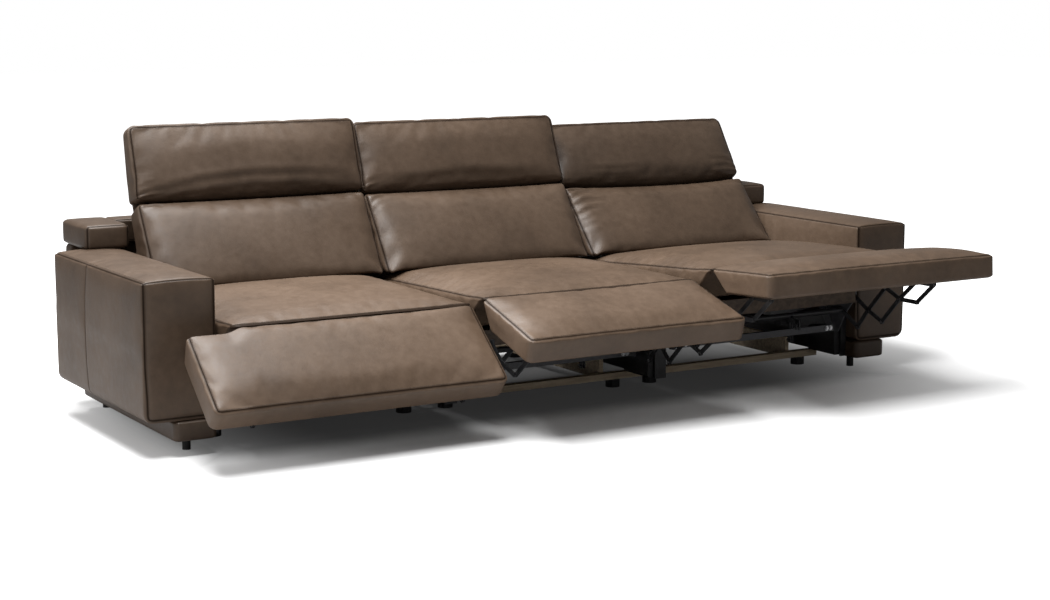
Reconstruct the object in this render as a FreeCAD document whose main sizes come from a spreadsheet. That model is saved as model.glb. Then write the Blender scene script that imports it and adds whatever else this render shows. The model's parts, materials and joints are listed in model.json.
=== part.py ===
"""Three-seat reclining leather sofa, millimetres, +Z up, +X to the right as seen from the front.

Seats are drawn closed and upright, with Y measured back from the front of the arms and X from the
middle of the seat. Each piece is then placed where the pose values in the sheet put it.
"""
import FreeCAD, Part
import math
import os
import Sketcher
from FreeCAD import Placement, Rotation, Vector

doc = FreeCAD.newDocument("reclining_sofa")
sheet = doc.addObject("Spreadsheet::Sheet", "Sizes")

SIZES = (
    ("sofa_width", 3200, "outside of one arm to outside of the other"),
    ("rail_clearance", 128, "from the headrest's hinge to the front of the rear rail"),
    ("origin_y", 238, "the frame's origin behind the front of the arms, under the open sofa's middle"),
    ("arm_width", 250, "each arm"),
    ("arm_depth", 880, "front to back of each arm"),
    ("arm_top", 580, "edge of the arm above the floor"),
    ("arm_bottom", 120, "underside of the arm above the floor"),
    ("arm_crown", 10, "rise of the arm's top at its middle"),
    ("arm_under_radius", 34, "lower long edges of the arm"),
    ("arm_edge_radius", 7, "upper and end edges of the arm"),
    ("plinth_width", 150, "under each arm, from its inner face"),
    ("plinth_beyond", 25, "plinth behind the arm"),
    ("plinth_bottom", 50, "underside of the plinth above the floor"),
    ("plinth_radius", 12, "long edges of the plinth"),
    ("peg_radius", 14, "peg legs under the plinths"),
    ("peg_inset", 68, "peg's middle from the arm's inner face"),
    ("front_peg_y", 112, "front pegs from the front of the arms"),
    ("rear_peg_lead", 10, "rear pegs behind the arm"),
    ("rail_height", 95, "padded rear rail, above the arm's crown"),
    ("rail_over_arm", 90, "how far the rail's ends reach forward over the arms"),
    ("rail_thick", 110, "padded rear rail between the arms"),
    ("rail_end_width", 160, "each end of the rear rail on its arm"),
    ("rail_radius", 22, "edges of the padded rear rail"),
    ("panel_thick", 60, "upholstered outside back"),
    ("board_rail_depth", 35, "wooden front rail, front to back"),
    ("board_rail_height", 25, "wooden front and rear rails"),
    ("front_rail_y", 240, "front of the wooden front rail"),
    ("glide_height", 30, "round feet under the wooden rails"),
    ("glide_radius", 28, "round feet"),
    ("glide_offset", 85, "round feet from the seam between two seats"),
    ("side_board_gap", 135, "side board from the seam between two seats"),
    ("side_board_thick", 18, "side board"),
    ("side_board_height", 80, "side board"),
    ("plate_thick", 6, "steel side brackets and mechanism plates"),
    ("bracket_lead", 29, "bracket in front of the front roller, fully forward"),
    ("upright_width", 25, "front flange of the side brackets"),
    ("bracket_rim", 10, "steel left beside the curved slots"),
    ("slot_margin", 6, "bracket beyond the back's slots, in degrees"),
    ("tower_depth", 115, "tower of the side brackets, front to back"),
    ("supply_width", 42, "supply box"),
    ("supply_height", 105, "top of the supply box above the wooden rails"),
    ("bracket_shelf", 110, "rear of the side brackets above the wooden rails"),
    ("bracket_waist", 230, "foot of the bracket's tower above the wooden rails"),
    ("bracket_step", 45, "where the bracket's front edge steps down, behind its front"),
    ("tower_top", 34, "level top of the bracket's tower, front to back"),
    ("tower_slope", 60, "fall of the tower's rear corner from its top"),
    ("seat_gap", 3, "each side of a cushion"),
    ("fold_y", -95, "fold between seat and footrest, closed"),
    ("fold_z", 440, "fold above the floor, closed"),
    ("seat_length", 817, "seat cushion from the fold to its back end"),
    ("seat_thick", 140, "seat cushion below the fold"),
    ("nose_depth", 117, "nose of the seat cushion, from the fold to its underside"),
    ("seat_crown", 41, "rise of the seat at its middle"),
    ("edge_swell", 5, "swell of each cushion at its ends"),
    ("cushion_bevel", 9, "bevelled edges of the cushions"),
    ("end_taper", 0.06, "how much smaller the outline of a cushion's end is, as a share"),
    ("pad_length", 348, "footrest pad from the fold to its end"),
    ("pad_depth", 90, "footrest pad"),
    ("pad_crown", 22, "rise of the footrest pad at its middle"),
    ("pad_ear", 155, "how far an outer footrest reaches in front of its arm"),
    ("ear_start", 30, "top of the outer footrest's ear below the fold"),
    ("ear_blend", 40, "where the outer footrest's ear begins, from the cushion's end"),
    ("mitre_gap", 3, "between the noses at the fold, each side"),
    ("board_thick", 12, "footrest board"),
    ("board_top", 115, "footrest board from the fold, upper edge"),
    ("board_end", 325, "footrest board from the fold, lower edge"),
    ("board_sink", 24, "how deep the board lies in the pad"),
    ("link_width", 16, "links of the lazy tongs"),
    ("link_thick", 5, "links of the lazy tongs"),
    ("layer_gap", 1, "between layers of the lazy tongs"),
    ("pin_radius", 4, "rivets of the lazy tongs"),
    ("pin_play", 0.08, "radial clearance of rivets and pins"),
    ("plate_gap", 56, "mechanism's side plate from the seam between two seats"),
    ("plate_neck", 90, "narrow part of the side plate from the front roller"),
    ("hanger_lead", 30, "front of the tube's hanger behind the front roller"),
    ("crank_behind", 268, "crank shaft behind the fold"),
    ("crank_below", 239, "crank shaft below the fold"),
    ("upper_step_y", -64, "upper seat pivot from the crank shaft"),
    ("upper_step_z", 70, "upper seat pivot from the crank shaft"),
    ("riser_step_y", -168, "third row of pivots from the crank shaft"),
    ("riser_step_z", 164, "third row of pivots from the crank shaft"),
    ("first_reach", 97, "first column of pivots, along the pad"),
    ("first_drop", 60, "first column of pivots, behind the pad's face"),
    ("second_reach", 175, "second column of pivots, along the pad"),
    ("second_drop", 97, "second column of pivots, behind the pad's face"),
    ("third_reach", 271, "third column of pivots, along the pad"),
    ("third_drop", 102, "third column of pivots, behind the pad's face"),
    ("shaft_radius", 11, "crank shaft"),
    ("lever_length", 50, "crank lever"),
    ("lever_x", 130, "crank lever from the middle of the seat"),
    ("lever_thick", 8, "crank lever"),
    ("lever_lead", 44.5, "crank lever behind the vertical, closed, in degrees"),
    ("slider_rate", 0.7875, "slider's travel for each degree of the footrest"),
    ("fork_play", 2.4, "crank pin in the slider's fork, each side"),
    ("tube_behind", 49, "square cross tube behind the crank shaft"),
    ("tube_below", 71, "square cross tube below the crank shaft"),
    ("tube_size", 25, "square cross tube"),
    ("tube_wall", 2, "square cross tube"),
    ("motor_x", 165, "drive rail from the middle of the seat"),
    ("motor_below", 23, "drive rail below the crank shaft"),
    ("drive_rail_radius", 10, "drive rail"),
    ("housing_length", 90, "gear housing"),
    ("housing_width", 52, "gear housing"),
    ("motor_radius", 21, "motor"),
    ("motor_length", 94, "motor, from the gear housing"),
    ("motor_setback", 45, "motor's middle behind the front of the gear housing"),
    ("slider_behind", 132, "sliding block behind the crank shaft, closed"),
    ("slider_half", 18, "half the height of the sliding block"),
    ("slider_length", 45, "sliding block, front to back"),
    ("deck_thick", 15, "seat deck"),
    ("deck_lead", 140, "front edge of the seat deck behind the fold"),
    ("deck_rear_gap", 22, "seat deck in front of the seat cushion's back end"),
    ("deck_gap", 14, "seat deck from the seam between two seats"),
    ("box_gap", 85, "wooden seat box from the seam between two seats"),
    ("box_height", 45, "wooden seat box under the deck"),
    ("box_wall", 20, "boards of the wooden seat box"),
    ("box_lead", 15, "front board behind the deck's front edge"),
    ("track_behind", 84, "lowest point of the curved track behind the seat cushion"),
    ("track_below", 42, "lowest point of the curved track below the crank shaft"),
    ("track_radius", 2280, "seat's curved track"),
    ("front_roller_behind", 345, "front roller behind the fold"),
    ("rear_roller_lead", 122, "rear roller in front of the seat cushion's back end"),
    ("roller_radius", 8, "rollers of the curved track"),
    ("roller_play", 0.3, "rollers in their slots"),
    ("recline_behind", 30, "middle of the back's curved slots behind its foot"),
    ("recline_above", 113, "middle of the back's curved slots above its foot"),
    ("slot_radius", 235, "back's curved slots"),
    ("upper_pin_angle", -3, "upper back pin from level, upright, in degrees"),
    ("lower_pin_angle", -21, "lower back pin from level, upright, in degrees"),
    ("back_pin_radius", 7, "back pins"),
    ("back_lead", 190, "foot of the back cushion's face in front of the seat cushion's end"),
    ("foot_below", 4, "foot of the back cushion's face below the fold"),
    ("split_behind", 184, "split between back cushion and headrest behind the foot"),
    ("split_above", 322, "split between back cushion and headrest above the foot"),
    ("back_over_foot", 14, "underside of the back cushion above its foot"),
    ("back_under_rise", 30, "rise of its underside over the seat's crown"),
    ("back_crown", 26, "swell of the back cushion at its middle"),
    ("back_rear_behind", 3, "rear lower edge of the back cushion behind the seat cushion"),
    ("back_rear_above", 46, "rear lower edge of the back cushion above its foot"),
    ("back_top_thick", 100, "back cushion at the split"),
    ("frame_thick", 18, "back frame panel"),
    ("frame_gap", 19, "back frame panel from the seam between two seats"),
    ("frame_foot", 12, "back frame panel from the cushion's foot, along its rear"),
    ("frame_top", 222, "top of the back frame panel, along the cushion's rear"),
    ("ear_foot", 190, "lower end of the hinge ears, along the cushion's rear"),
    ("cheek_top", 110, "top of the back's pin plates, along the cushion's rear"),
    ("head_length", 282, "headrest from the split to its top"),
    ("head_lean", 18, "headrest from upright, in degrees"),
    ("head_foot_thick", 100, "headrest at the split"),
    ("head_top_thick", 54, "headrest at its top"),
    ("head_crown", 17, "swell of the headrest at its middle"),
    ("split_gap", 4, "between back cushion and headrest"),
    ("hinge_gap", 200, "headrest hinges from the seam between two seats"),
    ("hinge_behind", 106, "headrest hinge behind the split"),
    ("hinge_below", 36, "headrest hinge below the split"),
    ("hinge_radius", 9, "headrest hinge barrel"),
    ("hinge_pin_radius", 5, "headrest hinge pin"),
    ("barrel_half", 20, "half the length of a headrest hinge's barrel"),
    ("strap_half", 16, "half the width of a hinge's strap"),
    ("strap_length", 150, "end of a hinge's strap from the split, along the headrest's rear"),
    ("footrest_max", 89, "footrest fully open from the seat, in degrees"),
    ("glide_max", 4, "seat fully forward along its track, in degrees"),
    ("headrest_max", 45, "headrest fully back from the back cushion, in degrees"),
    ("recline_rate", 3, "degrees of recline for each degree of glide"),
    ("left_footrest", 49, "left footrest as stored, in degrees"),
    ("left_glide", 0, "left seat as stored, in degrees"),
    ("left_headrest", 0, "left headrest tilt as stored, in degrees"),
    ("centre_footrest", 71.6, "centre footrest as stored, in degrees"),
    ("centre_glide", 1.4, "centre seat as stored, in degrees"),
    ("centre_headrest", 0, "centre headrest tilt as stored, in degrees"),
    ("right_footrest", 89, "right footrest as stored, in degrees"),
    ("right_glide", 4, "right seat as stored, in degrees"),
    ("right_headrest", 4, "right headrest tilt as stored, in degrees"),
)
for row, (alias, value, meaning) in enumerate(SIZES, 1):
    sheet.set(f"A{row}", meaning)
    sheet.set(f"B{row}", str(value))
    sheet.setAlias(f"B{row}", alias)
doc.recompute()


class Size(float):
    """A length or angle that remembers the sheet expression it comes from."""

    def __new__(cls, value, text):
        made = super().__new__(cls, value)
        made.text = text
        return made

    def __add__(self, other):
        return Size(float(self) + float(other), f"({self.text} + {text_of(other)})")

    def __radd__(self, other):
        return Size(float(other) + float(self), f"({text_of(other)} + {self.text})")

    def __sub__(self, other):
        return Size(float(self) - float(other), f"({self.text} - {text_of(other)})")

    def __rsub__(self, other):
        return Size(float(other) - float(self), f"({text_of(other)} - {self.text})")

    def __mul__(self, other):
        return Size(float(self) * float(other), f"({self.text} * {text_of(other)})")

    def __rmul__(self, other):
        return Size(float(other) * float(self), f"({text_of(other)} * {self.text})")

    def __truediv__(self, other):
        return Size(float(self) / float(other), f"({self.text} / {text_of(other)})")

    def __neg__(self):
        return Size(-float(self), f"({self.text} * -1)")


def text_of(number):
    """The expression of a size, or a plain number written out."""
    return number.text if isinstance(number, Size) else f"({float(number)!r})"


def sine(degrees):
    return Size(math.sin(math.radians(degrees)), f"sin({text_of(degrees)} * 1 deg)")


def cosine(degrees):
    return Size(math.cos(math.radians(degrees)), f"cos({text_of(degrees)} * 1 deg)")


def root(number):
    return Size(math.sqrt(number), f"sqrt({text_of(number)})")


def heading(rise, run):
    """Direction of a run in degrees from level."""
    return Size(math.degrees(math.atan2(rise, run)), f"(atan2({text_of(rise)}; {text_of(run)}) / 1 deg)")


class Sheet:
    """The sheet's cells, each read back as a size."""


size = Sheet()
for alias, value, meaning in SIZES:
    setattr(size, alias, Size(float(sheet.get(alias)), "Sizes." + alias))

# worked out from the sheet; everything on a seat starts at the fold in front of it, as (y, z)
ARM_INSIDE = size.sofa_width / 2 - size.arm_width
HALF_SEAT = ARM_INSIDE / 3
SEAT_PITCH = HALF_SEAT * 2
HALF_CUSHION = HALF_SEAT - size.seat_gap
SIDE_BOARD_X = HALF_SEAT - size.side_board_gap
PLATE_X = HALF_SEAT - size.plate_gap
HINGE_X = HALF_SEAT - size.hinge_gap
FOLD = (size.fold_y, size.fold_z)
SEAT_REAR = size.fold_y + size.seat_length
SEAT_UNDER = size.fold_z - size.seat_thick
SEAT_FRONT = size.fold_y + size.nose_depth
DECK_FRONT = size.fold_y + size.deck_lead
DECK_BOTTOM = SEAT_UNDER - size.deck_thick
BOX_BOTTOM = DECK_BOTTOM - size.box_height
CRANK = (size.fold_y + size.crank_behind, size.fold_z - size.crank_below)
TUBE_Y = CRANK[0] + size.tube_behind
TUBE_Z = CRANK[1] - size.tube_below
TUBE_HALF = size.tube_size / 2
MOTOR_Z = CRANK[1] - size.motor_below
EDGE = size.link_width / 2
GLIDE_CENTRE = (SEAT_REAR + size.track_behind, CRANK[1] - size.track_below + size.track_radius)
FRONT_ROLLER_Y = size.fold_y + size.front_roller_behind
REAR_ROLLER_Y = SEAT_REAR - size.rear_roller_lead
GLIDE_TRAVEL = size.track_radius * size.glide_max * (math.pi / 180)
BRACKET_FRONT = FRONT_ROLLER_Y - GLIDE_TRAVEL - size.bracket_lead
BACK_FOOT = (SEAT_REAR - size.back_lead, size.fold_z - size.foot_below)
SPLIT = (BACK_FOOT[0] + size.split_behind, BACK_FOOT[1] + size.split_above)
BACK_LEAN = heading(size.split_behind, size.split_above)
BACK_UNDER = BACK_FOOT[1] + size.back_over_foot
BACK_REAR = (SEAT_REAR + size.back_rear_behind, BACK_FOOT[1] + size.back_rear_above)
RECLINE_CENTRE = (BACK_FOOT[0] + size.recline_behind, BACK_FOOT[1] + size.recline_above)
HEAD_HINGE = (SPLIT[0] + size.hinge_behind, SPLIT[1] - size.hinge_below)
BODY_DEPTH = HEAD_HINGE[0] + size.rail_clearance + size.rail_thick
PLINTH_DEPTH = size.arm_depth + size.plinth_beyond
REAR_PEG_Y = size.arm_depth + size.rear_peg_lead
RAIL_FRONT = size.arm_depth - size.rail_over_arm
RAIL_BOTTOM = size.arm_top + size.arm_crown
RAIL_TOP = size.arm_top + size.rail_height
WOOD_TOP = size.glide_height + size.board_rail_height
REAR_RAIL_Y = BODY_DEPTH - size.panel_thick - size.board_rail_depth
PLATE = (PLATE_X, PLATE_X + size.plate_thick)
FIRST_LAYER = (PLATE_X - size.layer_gap - size.link_thick, PLATE_X - size.layer_gap)
SECOND_LAYER = tuple(x - size.link_thick - size.layer_gap for x in FIRST_LAYER)
THIRD_LAYER = tuple(x - size.link_thick - size.layer_gap for x in SECOND_LAYER)
UNITS = (("left", -1), ("centre", 0), ("right", 1))

nodes = {}


# places and poses
def at(spot):
    """A spot of a seat's side view as a point in its middle plane."""
    return Vector(0, spot[0], spot[1])


def beyond(spot, step):
    return (spot[0] + step[0], spot[1] + step[1])


def to_sofa(column):
    """From a seat's own frame to the sofa's, whose origin is in the middle on the floor."""
    return Placement(Vector(column * SEAT_PITCH, -size.origin_y, 0), Rotation())


def turned(degrees, centre):
    """A turn about an axis along X; positive tips the front upward and the top backward."""
    return Placement(Vector(), Rotation(Vector(1, 0, 0), -degrees), at(centre))


def shifted(offset):
    return Placement(offset, Rotation())


def keep(label, obj, placement=None):
    """Give a finished piece its node name and its place."""
    obj.Label = label
    obj.Placement = placement if placement else to_sofa(0)
    nodes[label] = obj
    return obj


def placed(label, source, placement):
    """The same piece of another seat, in its own place."""
    copy = doc.addObject("Part::Compound", label)
    copy.Links = [source]
    return keep(label, copy, placement)


# building blocks whose sizes are bound to the sheet
PLANES = {"x": Rotation(Vector(1, 1, 1), 120), "y": Rotation(Vector(1, 0, 0), 90), "z": Rotation()}
ALONG = {"x": Rotation(Vector(0, 1, 0), 90), "y": Rotation(Vector(1, 0, 0), -90), "z": Rotation()}


def place_at(obj, spots):
    for axis, value in zip("xyz", spots):
        obj.setExpression("Placement.Base." + axis, text_of(value))


def box(name, x, y, z):
    """A box between two limits on each axis."""
    obj = doc.addObject("Part::Box", name)
    for side, (low, high) in (("Length", x), ("Width", y), ("Height", z)):
        obj.setExpression(side, text_of(high - low))
    place_at(obj, (x[0], y[0], z[0]))
    return obj


def round_bar(name, radius, axis, start, length, sides):
    """A round bar from a start point along one axis, drawn with flat sides."""
    obj = doc.addObject("Part::Prism", name)
    obj.Polygon = sides
    obj.setExpression("Circumradius", text_of(radius))
    obj.setExpression("Height", text_of(length))
    obj.Placement = Placement(Vector(), ALONG[axis] * Rotation(Vector(0, 0, 1), 180 / sides))
    place_at(obj, start)
    return obj


def rod(name, radius, x, spot, sides=8):
    """A round bar along X between two limits."""
    return round_bar(name, radius, "x", (x[0], spot[0], spot[1]), x[1] - x[0], sides)


def bored(name, radius, x, spot, sides=8):
    """Cutter for a hole along X whose flat sides stand at the radius."""
    return rod(name, radius / math.cos(math.pi / sides), (x[0] - 1, x[1] + 1), spot, sides)


def draw(sketch, corners, bends):
    """A closed outline through its corners; a bent side is an arc of its own radius.

    A positive radius has its middle to the left of the way from corner to corner.
    """
    count = len(corners)
    sides, rules, bound, first, last = [], [], [], [], []
    for i in range(count):
        start, end = [Vector(*corners[k % count], 0) for k in (i, i + 1)]
        if i not in bends:
            sides.append(Part.LineSegment(start, end))
            first.append(1)
            last.append(2)
            continue
        radius = abs(float(bends[i]))
        hand = 1 if bends[i] > 0 else -1
        chord = end - start
        height = math.sqrt(radius ** 2 - (chord.Length / 2) ** 2)
        centre = (start + end) * 0.5 + Vector(-chord.y, chord.x, 0).normalize() * (height * hand)
        ends = [math.atan2(p.y - centre.y, p.x - centre.x) for p in (start, end)][::hand]
        sides.append(Part.ArcOfCircle(Part.Circle(centre, Vector(0, 0, 1), radius), *ends))
        first.append(1 if hand > 0 else 2)
        last.append(3 - first[-1])
    for i in range(count):
        rules.append(Sketcher.Constraint("Coincident", i, last[i], (i + 1) % count, first[(i + 1) % count]))
        for kind, value in zip(("DistanceX", "DistanceY"), corners[i]):
            bound.append((len(rules), value))
            rules.append(Sketcher.Constraint(kind, -1, 1, i, first[i], float(value)))
        if i in bends:
            radius = bends[i] if bends[i] > 0 else -bends[i]
            bound.append((len(rules), radius))
            rules.append(Sketcher.Constraint("Radius", i, float(radius)))
    sketch.addGeometry(sides, False)
    sketch.addConstraint(rules)
    for index, value in bound:
        if isinstance(value, Size):
            sketch.setExpression(f"Constraints[{index}]", value.text)


def section(name, axis, corners, offset, bends=None):
    """A sketch across one axis at an offset along it."""
    sketch = doc.addObject("Sketcher::SketchObject", name)
    draw(sketch, corners, bends or {})
    sketch.Placement = Placement(Vector(), PLANES[axis])
    sketch.setExpression("Placement.Base." + axis, text_of(offset))
    return sketch


def plate(name, axis, corners, limits, bends=None):
    """An outline extruded along one axis between two limits."""
    low, high = limits
    made = doc.addObject("Part::Extrusion", name)
    made.Base = section(name + "_outline", axis, corners, high if axis == "y" else low, bends)
    made.DirMode = "Normal"
    made.Solid = True
    made.setExpression("LengthFwd", text_of(high - low))
    return made


def join(name, parts):
    """Pieces of one material made as one solid."""
    made = doc.addObject("Part::MultiFuse", name)
    made.Shapes = parts
    made.Refine = True
    return made


def cut(name, base, tool):
    made = doc.addObject("Part::Cut", name)
    made.Base = base
    made.Tool = tool
    made.Refine = True
    return made


def group(name, parts):
    made = doc.addObject("Part::Compound", name)
    made.Links = parts
    return made


def mirrored(obj):
    """The same piece on the other side of the seat's middle."""
    made = doc.addObject("Part::Mirroring", obj.Name + "_mirrored")
    made.Source = obj
    made.Normal = Vector(1, 0, 0)
    made.Base = Vector()
    return made


def pad_body(name, plane, corners, offset, depth, bends=None):
    """A body whose first feature is an outline padded from one of its own origin planes."""
    body = doc.addObject("PartDesign::Body", name)
    sketch = body.newObject("Sketcher::SketchObject", name + "_outline")
    origin = [feature for feature in body.Origin.OriginFeatures if feature.Role == plane][0]
    sketch.AttachmentSupport = [(origin, "")]
    sketch.MapMode = "FlatFace"
    sketch.setExpression("AttachmentOffset.Base.z", text_of(offset))
    draw(sketch, corners, bends or {})
    pad = body.newObject("PartDesign::Pad", name + "_pad")
    pad.Profile = sketch
    pad.Reversed = plane == "XZ_Plane"
    pad.setExpression("Length", text_of(depth))
    doc.recompute()
    return body


def soften(body, kind, amount, picks):
    """Fillet or chamfer those edges of the body whose two ends pass the test."""
    tip = body.Tip
    names = [f"Edge{i}" for i, edge in enumerate(tip.Shape.Edges, 1)
             if picks(edge.Vertexes[0].Point, edge.Vertexes[-1].Point)]
    if not names:
        raise RuntimeError(f"{body.Label} has no such edges")
    made = body.newObject("PartDesign::" + kind, f"{body.Name}_{kind.lower()}")
    made.Base = (tip, names)
    made.setExpression("Radius" if kind == "Fillet" else "Size", text_of(amount))
    doc.recompute()


def same(a, b):
    return abs(a - b) < 1e-6


# soft pieces: side profiles lofted across the seat
def crowned(start, end, normal, rise):
    """Points of a swelling side between its ends, highest in the middle."""
    points = []
    for share in (0.07, 0.34, 0.66, 0.93):
        lift = rise * (4 * share * (1 - share))
        points.append((start[0] + (end[0] - start[0]) * share + normal[0] * lift,
                       start[1] + (end[1] - start[1]) * share + normal[1] * lift))
    return points


def drawn_in(corners, middle):
    """The smaller outline of a cushion's end, its sides parallel to the full one's."""
    return [tuple(value + (centre - value) * size.end_taper for value, centre in zip(corner, middle))
            for corner in corners]


def loft(name, sections):
    made = doc.addObject("Part::Loft", name)
    made.Sections = sections
    made.Solid = True
    made.Ruled = True
    return made


def cushion(name, middle, profile_at):
    """Loft a cushion from drawn-in ends through its full middle."""
    sections = []
    for k, share in enumerate((-1, -0.97, -0.72, -0.3, 0.3, 0.72, 0.97, 1)):
        corners = profile_at(1 - share ** 2 if abs(share) < 0.9 else 0)
        if abs(share) == 1:
            corners = drawn_in(corners, middle)
        sections.append(section(f"{name}_profile{k}", "x", corners, HALF_CUSHION * share))
    return loft(name, sections)


def seat_cushion():
    """Seat cushion: nose at the fold, crowned top, flat underside."""
    bevel = size.cushion_bevel
    nose = (size.fold_y + size.mitre_gap * 2, size.fold_z)
    rear = (SEAT_REAR, size.fold_z)

    def profile(crown):
        rise = size.edge_swell + (size.seat_crown - size.edge_swell) * crown
        top = crowned(nose, rear, (0, 1), rise)
        return [nose] + top + [
            (rear[0], rear[1] - bevel), (SEAT_REAR, SEAT_UNDER), (SEAT_FRONT, SEAT_UNDER),
            (SEAT_FRONT, size.fold_z - size.nose_depth + size.mitre_gap)]

    return cushion("seat_cushion", ((SEAT_FRONT + SEAT_REAR) / 2, size.fold_z - size.seat_thick / 2), profile)


def back_cushion():
    """Back cushion: leans over the seat, swells forward, flat behind."""
    slope = size.split_behind / size.split_above
    forward = (-cosine(BACK_LEAN), sine(BACK_LEAN))
    rear_top = (SPLIT[0] - size.back_top_thick * forward[0], SPLIT[1] - size.back_top_thick * forward[1])

    def profile(crown):
        foot_z = BACK_UNDER + size.back_under_rise * (1 if crown else 0)
        foot = (BACK_FOOT[0] + (foot_z - BACK_FOOT[1]) * slope, foot_z)
        rise = size.edge_swell + (size.back_crown - size.edge_swell) * crown
        return [foot] + crowned(foot, SPLIT, forward, rise) + [
            SPLIT, rear_top, (BACK_REAR[0], BACK_REAR[1] + size.seat_gap)]

    middle = ((BACK_FOOT[0] + rear_top[0]) / 2, (BACK_FOOT[1] + SPLIT[1]) / 2)
    return cushion("back_cushion", middle, profile)


def head_line(along, behind):
    """A point beside the headrest's front face: along it from the split, and behind it."""
    lean_sine, lean_cosine = sine(size.head_lean), cosine(size.head_lean)
    return (SPLIT[0] + lean_sine * along + lean_cosine * behind,
            SPLIT[1] + lean_cosine * along - lean_sine * behind)


def headrest():
    """Adjustable headrest: boxed pad, thinner at its top."""
    foot, top = head_line(size.split_gap, 0), head_line(size.head_length, 0)
    forward = (-cosine(size.head_lean), sine(size.head_lean))
    behind = [head_line(size.head_length, size.head_top_thick),
              head_line(size.split_gap, size.head_foot_thick)]

    def profile(crown):
        rise = size.edge_swell + (size.head_crown - size.edge_swell) * crown
        return [foot] + crowned(foot, top, forward, rise) + [top] + behind

    return cushion("headrest", head_line(size.head_length / 2, size.head_top_thick / 2), profile)


def footrest_pad(name, ear):
    """Padded footrest: crowned face, boxed end; an outer one reaches out in front of its arm."""
    face, back = size.fold_y, size.fold_y + size.pad_depth
    low = size.fold_z - size.pad_length
    inner, outer = -HALF_CUSHION, HALF_CUSHION
    if ear:
        outer = HALF_CUSHION + size.pad_ear
    span = outer - inner
    stations = [(inner + span * share, share, 0) for share in (0, 0.015, 0.28, 0.72)]
    if ear:
        stations.append((HALF_CUSHION - size.ear_blend, 0.82, 0))
        stations.append((HALF_CUSHION + size.ear_blend / 2, 0.88, 1))
    stations += [(inner + span * share, share, 1 if ear else 0) for share in (0.985, 1)]
    bevel = size.cushion_bevel
    sections = []
    for k, (x, share, lowered) in enumerate(stations):
        nose = 1 - 0.5 * lowered
        top = size.fold_z - size.ear_start * lowered
        head = (face, top - size.mitre_gap * (2 * nose))
        swell = 1 - (2 * share - 1) ** 2 if 0.1 < share < 0.9 else 0
        rise = size.edge_swell + (size.pad_crown - size.edge_swell) * swell
        foot = (face, low + bevel)
        corners = [(face + bevel, low), foot] + crowned(foot, head, (-1, 0), rise)
        corners += [head, (back, top - size.pad_depth * nose - size.mitre_gap), (back, low)]
        if share in (0, 1):
            corners = drawn_in(corners, (face + size.pad_depth / 2, size.fold_z - size.pad_length / 2))
        sections.append(section(f"{name}_profile{k}", "x", corners, x))
    recess_x = PLATE[0] + 2
    recess = box(name + "_recess", (-recess_x, recess_x), (back - size.board_sink, back + 20),
                 (size.fold_z - size.board_end - 10, size.fold_z - size.board_top + 10))
    return cut(name, loft(name + "_form", sections), recess)


# fixed body
def arm(name, side):
    """Padded box arm: flat sides, crowned top, rounder lower edges."""
    left, right = sorted((side * ARM_INSIDE, side * size.sofa_width / 2))
    low, top = size.arm_bottom, size.arm_top
    half = size.arm_width / 2
    crown_radius = (half * half + size.arm_crown * size.arm_crown) / (size.arm_crown * 2)
    corners = [(left, low), (right, low), (right, top), (left, top)]
    body = pad_body(name, "XZ_Plane", corners, 0, size.arm_depth, {2: crown_radius})
    for radius, height in ((size.arm_under_radius, low), (size.arm_edge_radius, top)):
        soften(body, "Fillet", radius,
               lambda a, b, z=height: same(a.z, z) and same(b.z, z) and same(a.x, b.x))
    soften(body, "Chamfer", size.arm_edge_radius / 2,
           lambda a, b: same(a.y, b.y) and (same(a.y, 0) or same(a.y, size.arm_depth)))
    return body


def plinths():
    """Leather-covered plinth under each arm, with rounded ends."""
    inner, outer = ARM_INSIDE, ARM_INSIDE + size.plinth_width
    corners = [(inner, 0), (outer, 0), (outer, PLINTH_DEPTH), (inner, PLINTH_DEPTH)]
    body = pad_body("plinth", "XY_Plane", corners, size.plinth_bottom, size.arm_bottom - size.plinth_bottom)
    soften(body, "Fillet", size.plinth_radius,
           lambda a, b: same(a.x, outer) and same(b.x, outer) and same(a.y, b.y))
    return group("plinths", [body, mirrored(body)])


def back_rail():
    """Padded rear rail whose two ends come forward over the arms."""
    outer = ARM_INSIDE + size.rail_end_width
    rear, front = BODY_DEPTH, BODY_DEPTH - size.rail_thick
    corners = [(-outer, rear), (-outer, RAIL_FRONT), (-ARM_INSIDE, RAIL_FRONT), (-ARM_INSIDE, front),
               (ARM_INSIDE, front), (ARM_INSIDE, RAIL_FRONT), (outer, RAIL_FRONT), (outer, rear)]
    body = pad_body("rail", "XY_Plane", corners, RAIL_BOTTOM, RAIL_TOP - RAIL_BOTTOM)
    soften(body, "Fillet", size.rail_radius,
           lambda a, b: same(abs(a.x), outer) and same(a.x, b.x) and same(a.y, b.y))
    soften(body, "Chamfer", size.rail_radius / 3, lambda a, b: same(a.z, RAIL_TOP) and same(b.z, RAIL_TOP))
    return body


def rear_panel():
    """Upholstered outside back below the rail."""
    outer = ARM_INSIDE + size.plinth_width
    front = BODY_DEPTH - size.panel_thick
    corners = [(-outer, front), (outer, front), (outer, BODY_DEPTH), (-outer, BODY_DEPTH)]
    body = pad_body("panel", "XY_Plane", corners, size.arm_bottom, RAIL_BOTTOM - size.arm_bottom)
    soften(body, "Chamfer", size.rail_radius / 3,
           lambda a, b: same(a.y + b.y, BODY_DEPTH * 2) and not same(a.z + b.z, RAIL_BOTTOM * 2))
    return body


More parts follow.
